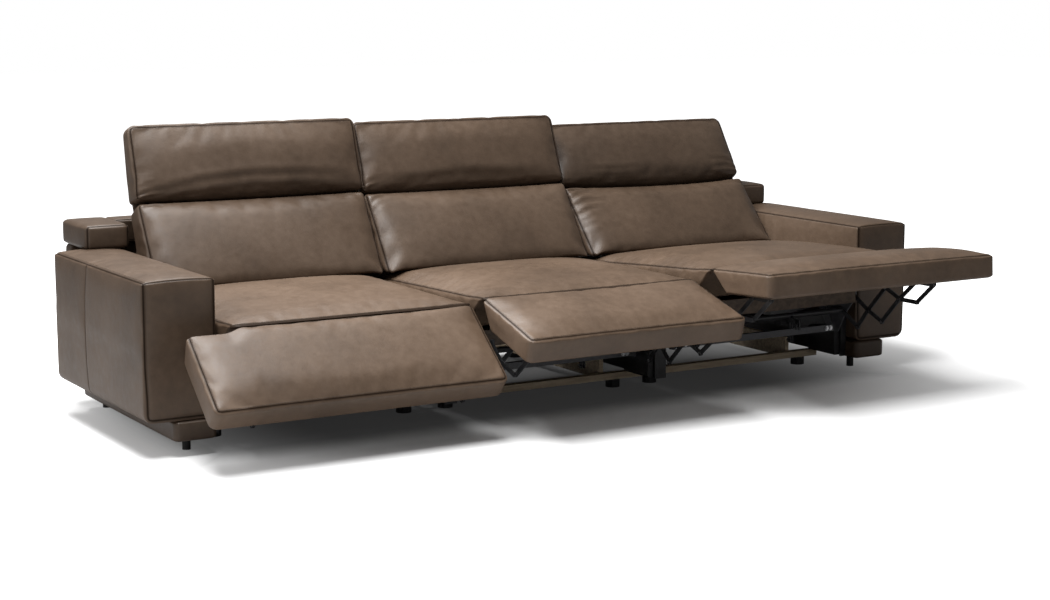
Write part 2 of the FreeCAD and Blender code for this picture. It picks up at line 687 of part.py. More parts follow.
def base_frame():
    """Wooden front and rear rails with a side board at the right of each seat."""
    height = (size.glide_height, WOOD_TOP)
    parts = [box(name, (-ARM_INSIDE, ARM_INSIDE), (y, y + size.board_rail_depth), height)
             for name, y in (("front_rail", size.front_rail_y), ("rear_rail", REAR_RAIL_Y))]
    for name, column in UNITS:
        x = SEAT_PITCH * column + SIDE_BOARD_X
        parts.append(box("side_board_" + name, (x, x + size.side_board_thick),
                         (size.front_rail_y + size.board_rail_depth, REAR_RAIL_Y),
                         (size.glide_height, size.glide_height + size.side_board_height)))
    return join("frame_boards", parts)


def feet():
    """Black peg legs under the plinths and round glides under the wooden rails."""
    parts = []
    for side in (-1, 1):
        x = (ARM_INSIDE + size.peg_inset) * side
        for name, y in (("front_peg", size.front_peg_y), ("rear_peg", REAR_PEG_Y)):
            parts.append(round_bar(name, size.peg_radius, "z", (x, y, 0), size.plinth_bottom, 12))
    rows = (size.front_rail_y + size.board_rail_depth / 2, REAR_RAIL_Y + size.board_rail_depth / 2)
    for name, column in UNITS:
        for side in (-1, 1):
            x = SEAT_PITCH * column + (HALF_SEAT - size.glide_offset) * side
            parts += [round_bar("foot_" + name, size.glide_radius, "z", (x, y, 0), size.glide_height, 10)
                      for y in rows]
    return group("all_feet", parts)


def polar(centre, radius, degrees):
    return (centre[0] + radius * cosine(degrees), centre[1] + radius * sine(degrees))


def slot(name, centre, radius, half_width, first, last, x):
    """Cutter for a curved slot about a far centre, from a lower to a higher angle, with bevelled ends."""
    tip = half_width / radius * (180 / math.pi) * 0.87  # bevels stand clear of the pin's round
    inner, outer, half = radius - half_width, radius + half_width, half_width / 2
    ends = ((outer, first), (outer, last), (radius + half, last + tip), (radius - half, last + tip),
            (inner, last), (inner, first), (radius - half, first - tip), (radius + half, first - tip))
    corners = [polar(centre, reach, angle) for reach, angle in ends]
    return plate(name, "x", corners, (x[0] - 1, x[1] + 1), {0: outer, 4: -inner})


def track_angle(y):
    """Angle about the track's far centre, in degrees, of the track's point above a given Y."""
    across = y - GLIDE_CENTRE[0]
    return heading(-root(size.track_radius * size.track_radius - across * across), across)


def track_point(y):
    across = y - GLIDE_CENTRE[0]
    return GLIDE_CENTRE[1] - root(size.track_radius * size.track_radius - across * across)


def back_pin(degrees):
    return polar(RECLINE_CENTRE, size.slot_radius, degrees)


def side_bracket():
    """Steel plate beside a seat: a long curved track for the seat and a short one for the back."""
    x = (HALF_SEAT - size.plate_thick, HALF_SEAT)
    rim = size.bracket_rim
    inner_slot = size.slot_radius - size.back_pin_radius - rim
    recline = size.glide_max * size.recline_rate
    margin = size.slot_margin
    upper = polar(RECLINE_CENTRE, inner_slot, size.upper_pin_angle + margin)
    lower = polar(RECLINE_CENTRE, inner_slot, size.lower_pin_angle - recline - margin)
    tower_back = lower[0] + size.tower_depth
    first, last = BRACKET_FRONT + size.bracket_step, REAR_ROLLER_Y + 40
    rise = size.roller_radius + rim
    front_top, rear_top = track_point(first) + rise, track_point(last) + rise
    foot_end = REAR_RAIL_Y + size.board_rail_depth
    corners = [lower, (lower[0], rear_top), (last, rear_top), (first, front_top), (BRACKET_FRONT, front_top),
               (BRACKET_FRONT, WOOD_TOP), (foot_end, WOOD_TOP), (foot_end, WOOD_TOP + size.bracket_shelf),
               (tower_back, WOOD_TOP + size.bracket_waist), (tower_back, upper[1] - size.tower_slope),
               (upper[0] + size.tower_top, upper[1]), upper]
    body = plate("bracket_plate", "x", corners, x, {11: -inner_slot})
    play = size.roller_play
    track = slot("seat_track", GLIDE_CENTRE, size.track_radius, size.roller_radius + play,
                 track_angle(FRONT_ROLLER_Y) - size.glide_max - 0.05, track_angle(REAR_ROLLER_Y) + 0.05, x)
    curve = slot("back_track", RECLINE_CENTRE, size.slot_radius, size.back_pin_radius + play,
                 size.lower_pin_angle - recline - 0.5, size.upper_pin_angle + 0.5, x)
    body = cut("bracket_tracks", cut("bracket_track", body, track), curve)
    flange = box("bracket_flange", (HALF_SEAT - size.upright_width, x[0]), (BRACKET_FRONT, BRACKET_FRONT + 8),
                 (WOOD_TOP, BOX_BOTTOM))
    return join("bracket", [body, flange])


def side_brackets():
    right = side_bracket()
    left = mirrored(right)
    parts = []
    for name, column in UNITS:
        copy = group("brackets_" + name, [right, left])
        copy.setExpression("Placement.Base.x", text_of(SEAT_PITCH * column))
        parts.append(copy)
    return group("all_brackets", parts)


def control_boxes():
    """Black supply box of each seat's drive, on the bracket at its right."""
    low, high = WOOD_TOP + 5, WOOD_TOP + size.supply_height
    bevel = 4
    parts = []
    for name, column in UNITS:
        outer = SEAT_PITCH * column + HALF_SEAT - size.plate_thick
        inner = outer - size.supply_width
        corners = [(outer, low), (outer, high), (inner + bevel, high), (inner, high - bevel),
                   (inner, low + bevel), (inner + bevel, low)]
        parts.append(plate("supply_box_" + name, "y", corners, (BRACKET_FRONT + 12, size.front_rail_y - 5)))
    return group("supply_boxes", parts)


# one seat
def seat_box():
    """Plywood deck on a frame of four boards."""
    half_deck, half_box = HALF_SEAT - size.deck_gap, HALF_SEAT - size.box_gap
    rear = SEAT_REAR - size.deck_rear_gap
    front = DECK_FRONT + size.box_lead
    wall = size.box_wall
    height = (BOX_BOTTOM, DECK_BOTTOM)
    parts = [box("seat_deck", (-half_deck, half_deck), (DECK_FRONT, rear), (DECK_BOTTOM, SEAT_UNDER))]
    parts += [box("box_end", (-half_box, half_box), (y, y + wall), height) for y in (front, rear - wall)]
    parts += [box("box_side", (x, x + wall), (front + wall, rear - wall), height)
              for x in (-half_box, half_box - wall)]
    return group("seat_box", parts)


def row(index):
    """Offset of a row of pivots from the crank shaft, fixed to the seat."""
    return ((0, 0), (size.upper_step_y, size.upper_step_z), (size.riser_step_y, size.riser_step_z),
            (-size.crank_behind, size.crank_below))[index]


def column_of(index):
    """Offset of a column of pivots, turning with the footrest, in its closed state."""
    return ((0, 0), (size.first_drop, -size.first_reach), (size.second_drop, -size.second_reach),
            (size.third_drop, -size.third_reach))[index]


def pivot(i, j):
    return beyond(beyond(CRANK, column_of(i)), row(j))


def sided(layer, side):
    """A layer's limits on the right or the left of the seat."""
    return layer if side > 0 else (-layer[1], -layer[0])


def strip(name, a, b, x):
    """A straight flat bar from pivot to pivot."""
    across, along = b[1] - a[1], b[0] - a[0]
    turn = heading(across, along)
    obj = doc.addObject("Part::Box", name)
    obj.Placement = Placement(Vector(), Rotation(Vector(1, 0, 0), 10))  # gives the bound angle its axis
    obj.setExpression("Length", text_of(x[1] - x[0]))
    obj.setExpression("Width", text_of(root(across * across + along * along)))
    obj.setExpression("Height", text_of(size.link_width))
    obj.setExpression("Placement.Rotation.Angle", text_of(turn))
    place_at(obj, (x[0], a[0] + EDGE * sine(turn), a[1] - EDGE * cosine(turn)))
    return obj


def bar(name, spots, x):
    """Flat bar with an eye at each of its pivots."""
    parts = [strip(name + "_run", a, b, x) for a, b in zip(spots, spots[1:])]
    parts += [rod(name + "_eye", EDGE, x, spot) for spot in spots]
    return join(name + "_bar", parts)


def link(name, side, layer, spots, holes, rivets):
    """One link of the tongs on one side of the seat."""
    x = sided(layer, side)
    made = bar(name, spots, x)
    play = size.pin_radius + size.pin_play
    if holes:
        cutters = [bored(name + "_hole", play, x, spot) for spot in holes]
        made = cut(name + "_bored", made, group(name + "_holes", cutters))
    if not rivets:
        return made
    shank = sided((SECOND_LAYER[0], FIRST_LAYER[0]), side)
    pins = [rod(name + "_rivet", size.pin_radius, shank, spot) for spot in rivets]
    return join(name + "_riveted", [made] + pins)


def both_sides(name, layer, spots, holes, rivets=()):
    return [link(name, side, layer, spots, holes, rivets) for side in (1, -1)]


def crank_pin():
    """Where the crank lever's pin stands, closed."""
    lead = size.lever_lead
    return (CRANK[0] + size.lever_length * sine(lead), CRANK[1] - size.lever_length * cosine(lead))


def crank_shaft():
    """Short links at both sides on one shaft, with the lever that the drive pushes."""
    start = pivot(0, 0)
    end = pivot(1, 0)
    links = both_sides("crank_link", FIRST_LAYER, [start, end], [start], [end])
    shaft = rod("shaft", size.shaft_radius, (-FIRST_LAYER[0], FIRST_LAYER[0]), CRANK, 12)
    pin = crank_pin()
    half = size.lever_thick / 2
    lever = bar("lever", [CRANK, pin], (size.lever_x - half, size.lever_x + half))
    push = rod("lever_pin", size.pin_radius, (size.lever_x, size.lever_x + 15), pin)
    return join("crank_shaft", links + [shaft, lever, push])


def mechanism_frame():
    """Side plates with their rollers and pivots, joined by the square cross tube and a rear bar."""
    front, rear = FRONT_ROLLER_Y, REAR_ROLLER_Y
    front_z, rear_z = track_point(front), track_point(rear)
    upper = pivot(0, 1)
    low, high = TUBE_Z - TUBE_HALF, TUBE_Z + TUBE_HALF
    near, far = TUBE_Y - TUBE_HALF, TUBE_Y + TUBE_HALF
    neck = front + size.plate_neck
    lead = front + size.hanger_lead
    corners = [(upper[0] - 16, DECK_BOTTOM), (upper[0] - 16, upper[1] - 14), (CRANK[0] - 16, CRANK[1] - 12),
               (near - 4, low - 4), (far + 4, low - 4), (front + 16, front_z - 18), (neck, front_z - 22),
               (rear - 50, rear_z - 16), (rear + 30, rear_z - 16), (rear + 30, DECK_BOTTOM)]
    flange_z = DECK_BOTTOM - size.plate_thick
    inner = THIRD_LAYER[0] - 4
    hanger = [(near, low), (far, low), (neck, flange_z), (lead, flange_z), (near, high)]
    parts = [plate("side_plate", "x", corners, PLATE),
             box("deck_flange", (THIRD_LAYER[0] - 8, PLATE[0]), (lead, rear + 30), (flange_z, DECK_BOTTOM)),
             plate("tube_hanger", "x", hanger, (inner, inner + 4))]
    for y, z in ((front, front_z), (rear, rear_z)):
        parts.append(rod("roller", size.roller_radius, (PLATE[1], HALF_SEAT - 0.5), (y, z)))
    side = join("plate_side", parts)
    wall = size.tube_wall
    tube = cut("cross_tube", box("tube", (-inner, inner), (near, far), (low, high)),
               box("tube_bore", (-inner, inner), (near + wall, far - wall), (low + wall, high - wall)))
    bar_y = rear + 10
    rear_bar = box("rear_bar", (-PLATE[0], PLATE[0]), (bar_y, bar_y + 20), (rear_z + 12, rear_z + 32))
    pins = [rod("seat_pin", size.pin_radius, sided((FIRST_LAYER[0] + 0.5, PLATE[0]), hand), spot)
            for hand in (1, -1) for spot in (pivot(0, 0), upper)]
    bolts = [round_bar("tube_bolt", 6, "y", (x, near - 5, TUBE_Z), 5, 6)
             for x in (inner - 12, inner - 30, 30 - inner, 12 - inner)]
    return join("mechanism_frame", [side, mirrored(side), tube, rear_bar] + pins + bolts)


def drive_motor():
    """Drive under the seat: lugs on the cross tube, round rail, gear housing and motor."""
    x, z = size.motor_x, MOTOR_Z
    housing_end = REAR_ROLLER_Y + 10
    rail_end = housing_end - size.housing_length
    near, far = TUBE_Y - TUBE_HALF, TUBE_Y + TUBE_HALF
    low, high = TUBE_Z - TUBE_HALF, TUBE_Z + TUBE_HALF
    lugs = []
    for middle in (x - 8, x + 4):
        lug = box("lug", (middle, middle + 4), (near, far - 8), (low - 26, z + size.drive_rail_radius + 6))
        space = box("lug_space", (middle - 1, middle + 5), (near - 1, far + 1), (low, high))
        lugs.append(cut("lug_cut", lug, space))
    hanger = rod("drive_pin", 5, (x - 14, x + 14), (TUBE_Y, low - 16))
    rail = round_bar("drive_rail", size.drive_rail_radius, "y", (x, near, z), rail_end - near, 12)
    half, bevel = size.housing_width / 2, 5
    left, right, bottom, top = x - half, x + half, z - half, z + half + 8
    corners = [(left + bevel, bottom), (right - bevel, bottom), (right, bottom + bevel), (right, top - bevel),
               (right - bevel, top), (left + bevel, top), (left, top - bevel), (left, bottom + bevel)]
    housing = plate("gear_housing", "y", corners, (rail_end, housing_end))
    spot = (rail_end + size.motor_setback, z + 2)
    motor = rod("motor", size.motor_radius, (right, right + size.motor_length), spot, 12)
    return join("drive_motor", lugs + [hanger, rail, housing, motor])


def drive_slider():
    """Block that rides on the drive rail and pushes the crank pin with its fork."""
    x, z = size.motor_x, MOTOR_Z
    pin = crank_pin()
    face = (size.lever_x + 6, size.lever_x + 12)
    start = CRANK[0] + size.slider_behind
    half_block = size.slider_half
    end = start + size.slider_length
    body = box("slider_block", (face[0], x + 24), (start, end), (z - half_block, z + half_block))
    bore = round_bar("slider_bore", size.drive_rail_radius + size.pin_play * 3, "y", (x, start - 5, z),
                     size.slider_length + 10, 12)
    top = CRANK[1] - size.shaft_radius - 3
    half = size.pin_radius + size.fork_play
    near = pin[0] - half - 6
    parts = [cut("slider_bored", body, bore), box("fork_arm", face, (near, start), (top - 12, top))]
    parts += [box("fork_prong", face, (y, y + 6), (TUBE_Z + TUBE_HALF + 3.5, top))
              for y in (near, pin[0] + half)]
    return join("drive_slider", parts)


def footrest_board():
    """Plywood board sunk in the pad's back, with the brackets that the lazy tongs hold."""
    near = size.fold_y + size.pad_depth - size.board_sink
    rear = near + size.board_thick
    board = box("board", (-THIRD_LAYER[1], THIRD_LAYER[1]), (near, rear),
                (size.fold_z - size.board_end, size.fold_z - size.board_top))
    upper, lower = pivot(2, 3), pivot(3, 3)
    corners = [(rear, upper[1] + 14), (upper[0] + 2, upper[1] + 10), (upper[0] + 10, upper[1]),
               (lower[0] + 10, lower[1]), (lower[0] + 2, lower[1] - 10), (rear, lower[1] - 14)]
    bracket = plate("pad_bracket", "x", corners, THIRD_LAYER)
    reach = (THIRD_LAYER[1], SECOND_LAYER[1] + 0.5)
    pins = [rod("pad_pin", size.pin_radius, reach, spot) for spot in (upper, lower)]
    side = join("pad_bracket_pins", [bracket] + pins)
    return join("footrest_board", [board, side, mirrored(side)])


def back_line(along, behind):
    """A point beside the back cushion's rear face: along it from its foot, and behind it."""
    thick = size.back_top_thick
    top = (SPLIT[0] + thick * cosine(BACK_LEAN), SPLIT[1] - thick * sine(BACK_LEAN))
    lean = heading(top[0] - BACK_REAR[0], top[1] - BACK_REAR[1])
    return (BACK_REAR[0] + sine(lean) * along + cosine(lean) * behind,
            BACK_REAR[1] + cosine(lean) * along - sine(lean) * behind)


def back_frame():
    """Panel behind the back cushion with pin plates at its sides and ears for the headrest."""
    half = HALF_SEAT - size.frame_gap
    thick = size.frame_thick
    near = 0.4
    low, high = size.frame_foot, size.frame_top
    panel = plate("back_panel", "x", [back_line(low, near), back_line(high, near), back_line(high, thick),
                                      back_line(low, thick)], (-half, half))
    upper, lower = back_pin(size.upper_pin_angle), back_pin(size.lower_pin_angle)
    reach = size.back_pin_radius + 6
    corners = [back_line(20, thick), (lower[0] - 4, lower[1] - reach), (lower[0] + reach, lower[1] - 4),
               (upper[0] + reach, upper[1] + 2), (upper[0] + 4, upper[1] + reach),
               back_line(size.cheek_top, thick)]
    parts = [plate("pin_cheek", "x", corners, (half - size.plate_thick, half))]
    parts += [rod("back_pin", size.back_pin_radius, (half, HALF_SEAT - 0.5), spot) for spot in (upper, lower)]
    y, z = HEAD_HINGE
    foot, top = back_line(size.ear_foot, thick), back_line(high, thick)
    outline = [foot, top, (y - 8, z + 4), (y, z + 9), (y + 9, z), (foot[0] + 22, foot[1])]
    reach = size.barrel_half
    parts += [plate("hinge_ear", "x", outline, (HINGE_X + offset, HINGE_X + offset + 6))
              for offset in (-reach - 7, reach + 1)]
    side = join("frame_side", parts)
    hinge_x = (HINGE_X - reach - 7, HINGE_X + reach + 7)
    pins = [rod("hinge_pin", size.hinge_pin_radius, sided(hinge_x, hand), HEAD_HINGE) for hand in (1, -1)]
    return join("back_frame", [panel, side, mirrored(side)] + pins)


def headrest_hinge():
    """Two hinge arms behind the headrest, each with a barrel on the back frame's pin."""
    taper = (size.head_foot_thick - size.head_top_thick) / (size.head_length - size.split_gap)

    def rear(along, off):
        return head_line(along, size.head_foot_thick - taper * (along - size.split_gap) + off)

    y, z = HEAD_HINGE
    width = (HINGE_X - size.barrel_half, HINGE_X + size.barrel_half)
    barrel = rod("barrel", size.hinge_radius, width, HEAD_HINGE)
    bore = bored("barrel_bore", size.hinge_pin_radius + size.pin_play, width, HEAD_HINGE)
    limits = (HINGE_X - size.strap_half, HINGE_X + size.strap_half)
    end = size.strap_length
    strap = plate("hinge_strap", "x", [rear(16, 0.4), rear(end, 0.4), rear(end, 5), rear(16, 5)], limits)
    outline = [rear(12, 0.4), rear(20, 0.4), rear(20, 5), (y + 4, z + 7.5), (y - 6, z + 6.2)]
    web = plate("hinge_web", "x", outline, limits)
    side = join("hinge_arm", [cut("barrel_bored", barrel, bore), strap, web])
    return group("headrest_hinge", [side, mirrored(side)])


def tongs():
    """The links that both sides of a seat carry, each as one piece."""
    spots = [pivot(i, 1) for i in (0, 1, 2)]
    lower = both_sides("lower_link", FIRST_LAYER, spots, spots[:1], spots[1:])
    spots = [pivot(i, 2) for i in (1, 2, 3)]
    outer = both_sides("outer_link", FIRST_LAYER, spots, [], spots)
    made = {"tongs_lower_link": group("lower_links", lower), "tongs_outer_link": group("outer_links", outer)}
    risers = (("rear_riser", 1, (0, 1, 2)), ("front_riser", 2, (1, 2, 3)), ("tip_link", 3, (2, 3)))
    for label, i, rows in risers:
        spots = [pivot(i, j) for j in rows]
        made["tongs_" + label] = group(label + "s", both_sides(label, SECOND_LAYER, spots, spots))
    return made


keep("arm_left", arm("left_arm", -1))
keep("arm_right", arm("right_arm", 1))
keep("arm_plinths", plinths())
keep("back_rail", back_rail())
keep("rear_panel", rear_panel())
keep("base_frame", base_frame())
keep("side_brackets", side_brackets())
keep("control_boxes", control_boxes())
keep("feet", feet())

pieces = {
    "seat_cushion": seat_cushion(),
    "seat_box": seat_box(),
    "mechanism_frame": mechanism_frame(),
    "drive_motor": drive_motor(),
    "drive_slider": drive_slider(),
    "footrest_board": footrest_board(),
    "crank_shaft": crank_shaft(),
    "back_cushion": back_cushion(),
    "back_frame": back_frame(),
    "headrest": headrest(),
    "headrest_hinge": headrest_hinge(),
}
pieces.update(tongs())
outer_pad = footrest_pad("outer_pad", True)
pads = {"left": mirrored(outer_pad), "centre": footrest_pad("middle_pad", False), "right": outer_pad}


def place_unit(name, column):
    """All pieces of one seat, each placed by the seat's stored pose."""
    open_by = getattr(size, name + "_footrest")
    glide = getattr(size, name + "_glide")
    tilt = getattr(size, name + "_headrest")
    sofa = to_sofa(column)
    seat = sofa.multiply(turned(glide, GLIDE_CENTRE))
    back = sofa.multiply(turned(glide * size.recline_rate, RECLINE_CENTRE))
    head = back.multiply(turned(tilt, HEAD_HINGE))
    lifted = seat.multiply(turned(open_by, FOLD))
    unturned = Rotation(Vector(1, 0, 0), -open_by)
    travel = Vector(0, -size.slider_rate * open_by, 0)
    places = {
        "seat_cushion": seat, "seat_box": seat, "mechanism_frame": seat, "drive_motor": seat,
        "drive_slider": seat.multiply(shifted(travel)),
        "footrest_board": lifted,
        "crank_shaft": seat.multiply(turned(open_by, CRANK)),
        "tongs_lower_link": seat.multiply(turned(open_by, pivot(0, 1))),
        "tongs_outer_link": seat.multiply(turned(open_by, beyond(CRANK, row(2)))),
        "back_cushion": back, "back_frame": back, "headrest": head, "headrest_hinge": head,
    }
    for label, i in (("tongs_rear_riser", 1), ("tongs_front_riser", 2), ("tongs_tip_link", 3)):
        step = at(column_of(i))
        places[label] = seat.multiply(shifted(unturned.multVec(step).sub(step)))
    placed("footrest_pad_" + name, pads[name], lifted)
    for label, source in pieces.items():
        placed(f"{label}_{name}", source, places[label])


for unit_name, unit_column in UNITS:
    place_unit(unit_name, unit_column)

doc.recompute()
for obj in doc.Objects:
    if "Invalid" in obj.State or "Error" in obj.State:
        raise RuntimeError(f"{obj.Label} failed: {obj.State}")
for label, obj in nodes.items():
    if obj.Shape.isNull() or not obj.Shape.isValid():
        raise RuntimeError(f"{label} has no valid shape")
    if not obj.Shape.Solids or any(solid.Volume <= 0 for solid in obj.Shape.Solids):
        raise RuntimeError(f"{label} has no solid")

os.makedirs("parts", exist_ok=True)
for label, obj in nodes.items():
    obj.Shape.exportStep(f"parts/{label}.step")
print(len(nodes), "sub-parts,", sum(len(obj.Shape.Solids) for obj in nodes.values()), "solids")
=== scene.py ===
import json
import math
import bpy
import bmesh
import numpy as np
from mathutils import Matrix, Vector

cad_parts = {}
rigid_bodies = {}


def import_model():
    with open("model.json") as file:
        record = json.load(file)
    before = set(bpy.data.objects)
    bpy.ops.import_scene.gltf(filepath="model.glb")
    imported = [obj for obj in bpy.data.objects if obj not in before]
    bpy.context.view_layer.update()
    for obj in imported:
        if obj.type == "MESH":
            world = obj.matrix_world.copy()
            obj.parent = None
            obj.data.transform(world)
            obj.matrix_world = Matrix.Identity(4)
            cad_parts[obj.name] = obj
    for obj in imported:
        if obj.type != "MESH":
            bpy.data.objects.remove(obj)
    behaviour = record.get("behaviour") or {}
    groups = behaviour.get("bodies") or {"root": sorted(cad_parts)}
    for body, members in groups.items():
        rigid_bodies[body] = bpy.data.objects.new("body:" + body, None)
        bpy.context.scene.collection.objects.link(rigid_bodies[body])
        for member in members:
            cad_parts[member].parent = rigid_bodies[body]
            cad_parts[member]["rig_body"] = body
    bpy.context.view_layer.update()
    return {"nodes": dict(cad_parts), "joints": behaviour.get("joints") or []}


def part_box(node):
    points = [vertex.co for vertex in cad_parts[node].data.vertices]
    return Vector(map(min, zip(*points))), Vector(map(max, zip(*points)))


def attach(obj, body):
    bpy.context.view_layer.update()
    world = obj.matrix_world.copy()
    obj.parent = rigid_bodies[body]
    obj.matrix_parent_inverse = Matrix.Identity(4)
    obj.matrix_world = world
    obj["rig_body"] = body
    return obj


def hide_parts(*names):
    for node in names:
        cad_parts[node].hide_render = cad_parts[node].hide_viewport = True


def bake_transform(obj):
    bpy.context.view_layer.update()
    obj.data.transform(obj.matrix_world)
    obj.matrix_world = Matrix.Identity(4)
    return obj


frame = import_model()
nodes = frame["nodes"]
joints = {joint["name"]: joint for joint in frame["joints"]}
scene = bpy.context.scene
scene.view_settings.view_transform = "Standard"
units = (("left", -0.9), ("centre", 0.0), ("right", 0.9))
print("frame loaded:", len(nodes), "nodes")


# placing: every seat is shaped closed and upright, then turned as its stored pose has it
def turned(name):
    joint = joints[name]
    point = Matrix.Translation(Vector(joint["pos_m"]))
    turn = Matrix.Rotation(math.radians(-joint["range_deg"][0]), 4, Vector(joint["axis"]))
    return point @ turn @ point.inverted()


places = {}
for unit, middle in units:
    seatPlace = places["seat_" + unit] = turned("seat_glide_" + unit)
    backPlace = places["back_" + unit] = turned("back_recline_" + unit)
    places["headrest_" + unit] = turned("headrest_tilt_" + unit) @ backPlace
    places["footrest_" + unit] = turned("footrest_lift_" + unit) @ seatPlace


def drawnBox(node, place):  # a node's corners before its stored pose
    back = np.array(place.inverted())
    co = np.array([v.co for v in nodes[node].data.vertices])
    co = co @ back[:3, :3].T + back[:3, 3]
    return co.min(0), co.max(0)


# materials
def nodeTree(name, colour, roughness):
    material = bpy.data.materials.new(name)
    material.use_nodes = True
    tree = material.node_tree
    shader = tree.nodes["Principled BSDF"]
    shader.inputs["Base Color"].default_value = (*colour, 1)
    shader.inputs["Roughness"].default_value = roughness
    return material, tree, shader


def addNode(tree, kind, **values):
    made = tree.nodes.new(kind)
    for key, value in values.items():
        if key in made.inputs:
            made.inputs[key].default_value = value
        else:
            setattr(made, key, value)
    return made


def noiseAt(tree, place, scale, detail, roughness=0.55):
    made = addNode(tree, "ShaderNodeTexNoise", Scale=scale, Detail=detail, Roughness=roughness)
    tree.links.new(place.outputs["Object"], made.inputs["Vector"])
    return made


def ramp(tree, source, stops):
    made = addNode(tree, "ShaderNodeValToRGB")
    elements = made.color_ramp.elements
    while len(elements) < len(stops):
        elements.new(0.5)
    for element, (position, colour) in zip(elements, stops):
        element.position = position
        element.color = (*colour, 1) if len(colour) == 3 else colour
    tree.links.new(source, made.inputs["Fac"])
    return made


def mixed(tree, mode, amount, a, b):
    made = addNode(tree, "ShaderNodeMix", data_type="RGBA", blend_type=mode)
    for socket, value in ((made.inputs["Factor"], amount), (made.inputs["A"], a), (made.inputs["B"], b)):
        if isinstance(value, (int, float)):
            socket.default_value = value
        elif isinstance(value, tuple):
            socket.default_value = (*value, 1)
        else:
            tree.links.new(value, socket)
    return made.outputs["Result"]


def worked(tree, operation, a, b=0.0):  # one step of arithmetic, on sockets or numbers
    made = addNode(tree, "ShaderNodeMath", operation=operation)
    for socket, value in zip(made.inputs, (a, b)):
        if isinstance(value, (int, float)):
            socket.default_value = value
        else:
            tree.links.new(value, socket)
    return made.outputs["Value"]


def mapped(tree, value, given=(0, 1), wanted=(0, 1), kind="LINEAR"):
    made = addNode(tree, "ShaderNodeMapRange", interpolation_type=kind)
    for key, number in zip(("From Min", "From Max", "To Min", "To Max"), given + wanted):
        made.inputs[key].default_value = number
    tree.links.new(value, made.inputs["Value"])
    return made.outputs["Result"]


def bumped(tree, shader, layers):  # each layer: height, strength, distance
    last = None
    for height, strength, distance in layers:
        made = addNode(tree, "ShaderNodeBump", Strength=strength, Distance=distance)
        tree.links.new(height, made.inputs["Height"])
        if last:
            tree.links.new(last.outputs["Normal"], made.inputs["Normal"])
        last = made
    tree.links.new(last.outputs["Normal"], shader.inputs["Normal"])


leatherLook = {
    "dark": (0.072, 0.046, 0.029),
    "middle": (0.100, 0.065, 0.042),
    "pale": (0.130, 0.088, 0.060),
    # the next colour is painted shade, near black, for the seam grooves
    "seam": (0.010, 0.006, 0.004),
    "roughness": (0.42, 0.54),
    "gloss": 0.36,
    "grain": 420,
}


# the factor darkens all three leather tones: painted shade for pieces meant to look less lit
def leather(name, look, paintedShade=1.0):
    look = {key: tuple(c * paintedShade for c in value) if key in ("dark", "middle", "pale") else value
            for key, value in look.items()}
    material, tree, shader = nodeTree(name, look["middle"], 0.5)
    place = addNode(tree, "ShaderNodeTexCoord")
    clouds = noiseAt(tree, place, 2.6, 5, 0.6)
    stops = ((0.3, look["dark"]), (0.5, look["middle"]), (0.72, look["pale"]))
    tone = ramp(tree, clouds.outputs["Fac"], stops)
    specks = noiseAt(tree, place, 34, 7, 0.62)
    fine = ramp(tree, specks.outputs["Fac"], ((0.32, (0.88, 0.87, 0.86)), (0.7, (1.08, 1.08, 1.08))))
    coloured = mixed(tree, "MULTIPLY", 1.0, tone.outputs["Color"], fine.outputs["Color"])
    # the seam grooves are painted near black and lose their specular level: painted shade in the grooves
    seam = addNode(tree, "ShaderNodeAttribute", attribute_name="seam")
    shine = mapped(tree, seam.outputs["Fac"], wanted=(look["gloss"], 0))
    tree.links.new(shine, shader.inputs["Specular IOR Level"])
    coloured = mixed(tree, "MIX", seam.outputs["Fac"], coloured, look["seam"])
    tree.links.new(coloured, shader.inputs["Base Color"])
    low, high = look["roughness"]
    sheen = ramp(tree, specks.outputs["Fac"], ((0.3, (low,) * 3), (0.75, (high,) * 3)))
    tree.links.new(sheen.outputs["Color"], shader.inputs["Roughness"])
    cells = addNode(tree, "ShaderNodeTexVoronoi", feature="SMOOTH_F1", Scale=look["grain"])
    tree.links.new(place.outputs["Object"], cells.inputs["Vector"])
    ripples = noiseAt(tree, place, 14, 4, 0.5)
    bumped(tree, shader, (
        (ripples.outputs["Fac"], 0.35, 0.004),
        (specks.outputs["Fac"], 0.25, 0.0012),
        (cells.outputs["Distance"], 0.35, 0.0005)))
    return material


def paintedSteel(name, colour, roughness, scuffs, metallic=0):
    material, tree, shader = nodeTree(name, colour, roughness)
    shader.inputs["Metallic"].default_value = metallic
    place = addNode(tree, "ShaderNodeTexCoord")
    dust = noiseAt(tree, place, 30, 6, 0.65)
    pale = tuple(c * scuffs for c in colour)
    tone = ramp(tree, dust.outputs["Fac"], ((0.35, colour), (0.75, pale)))
    tree.links.new(tone.outputs["Color"], shader.inputs["Base Color"])
    gloss = ramp(tree, dust.outputs["Fac"], ((0.3, (roughness - 0.1,) * 3), (0.7, (roughness + 0.1,) * 3)))
    tree.links.new(gloss.outputs["Color"], shader.inputs["Roughness"])
    peel = noiseAt(tree, place, 260, 2)
    bumped(tree, shader, ((peel.outputs["Fac"], 0.2, 0.0006),))
    return material


def timber(name, pale, dark, along):
    material, tree, shader = nodeTree(name, pale, 0.68)
    place = addNode(tree, "ShaderNodeTexCoord")
    stretch = addNode(tree, "ShaderNodeMapping", Scale=along)
    tree.links.new(place.outputs["Object"], stretch.inputs["Vector"])
    grain = addNode(tree, "ShaderNodeTexNoise", Scale=9, Detail=8, Distortion=0.6)
    tree.links.new(stretch.outputs["Vector"], grain.inputs["Vector"])
    tone = ramp(tree, grain.outputs["Fac"], ((0.35, dark), (0.62, pale)))
    tree.links.new(tone.outputs["Color"], shader.inputs["Base Color"])
    bumped(tree, shader, ((grain.outputs["Fac"], 0.3, 0.0012),))
    return material


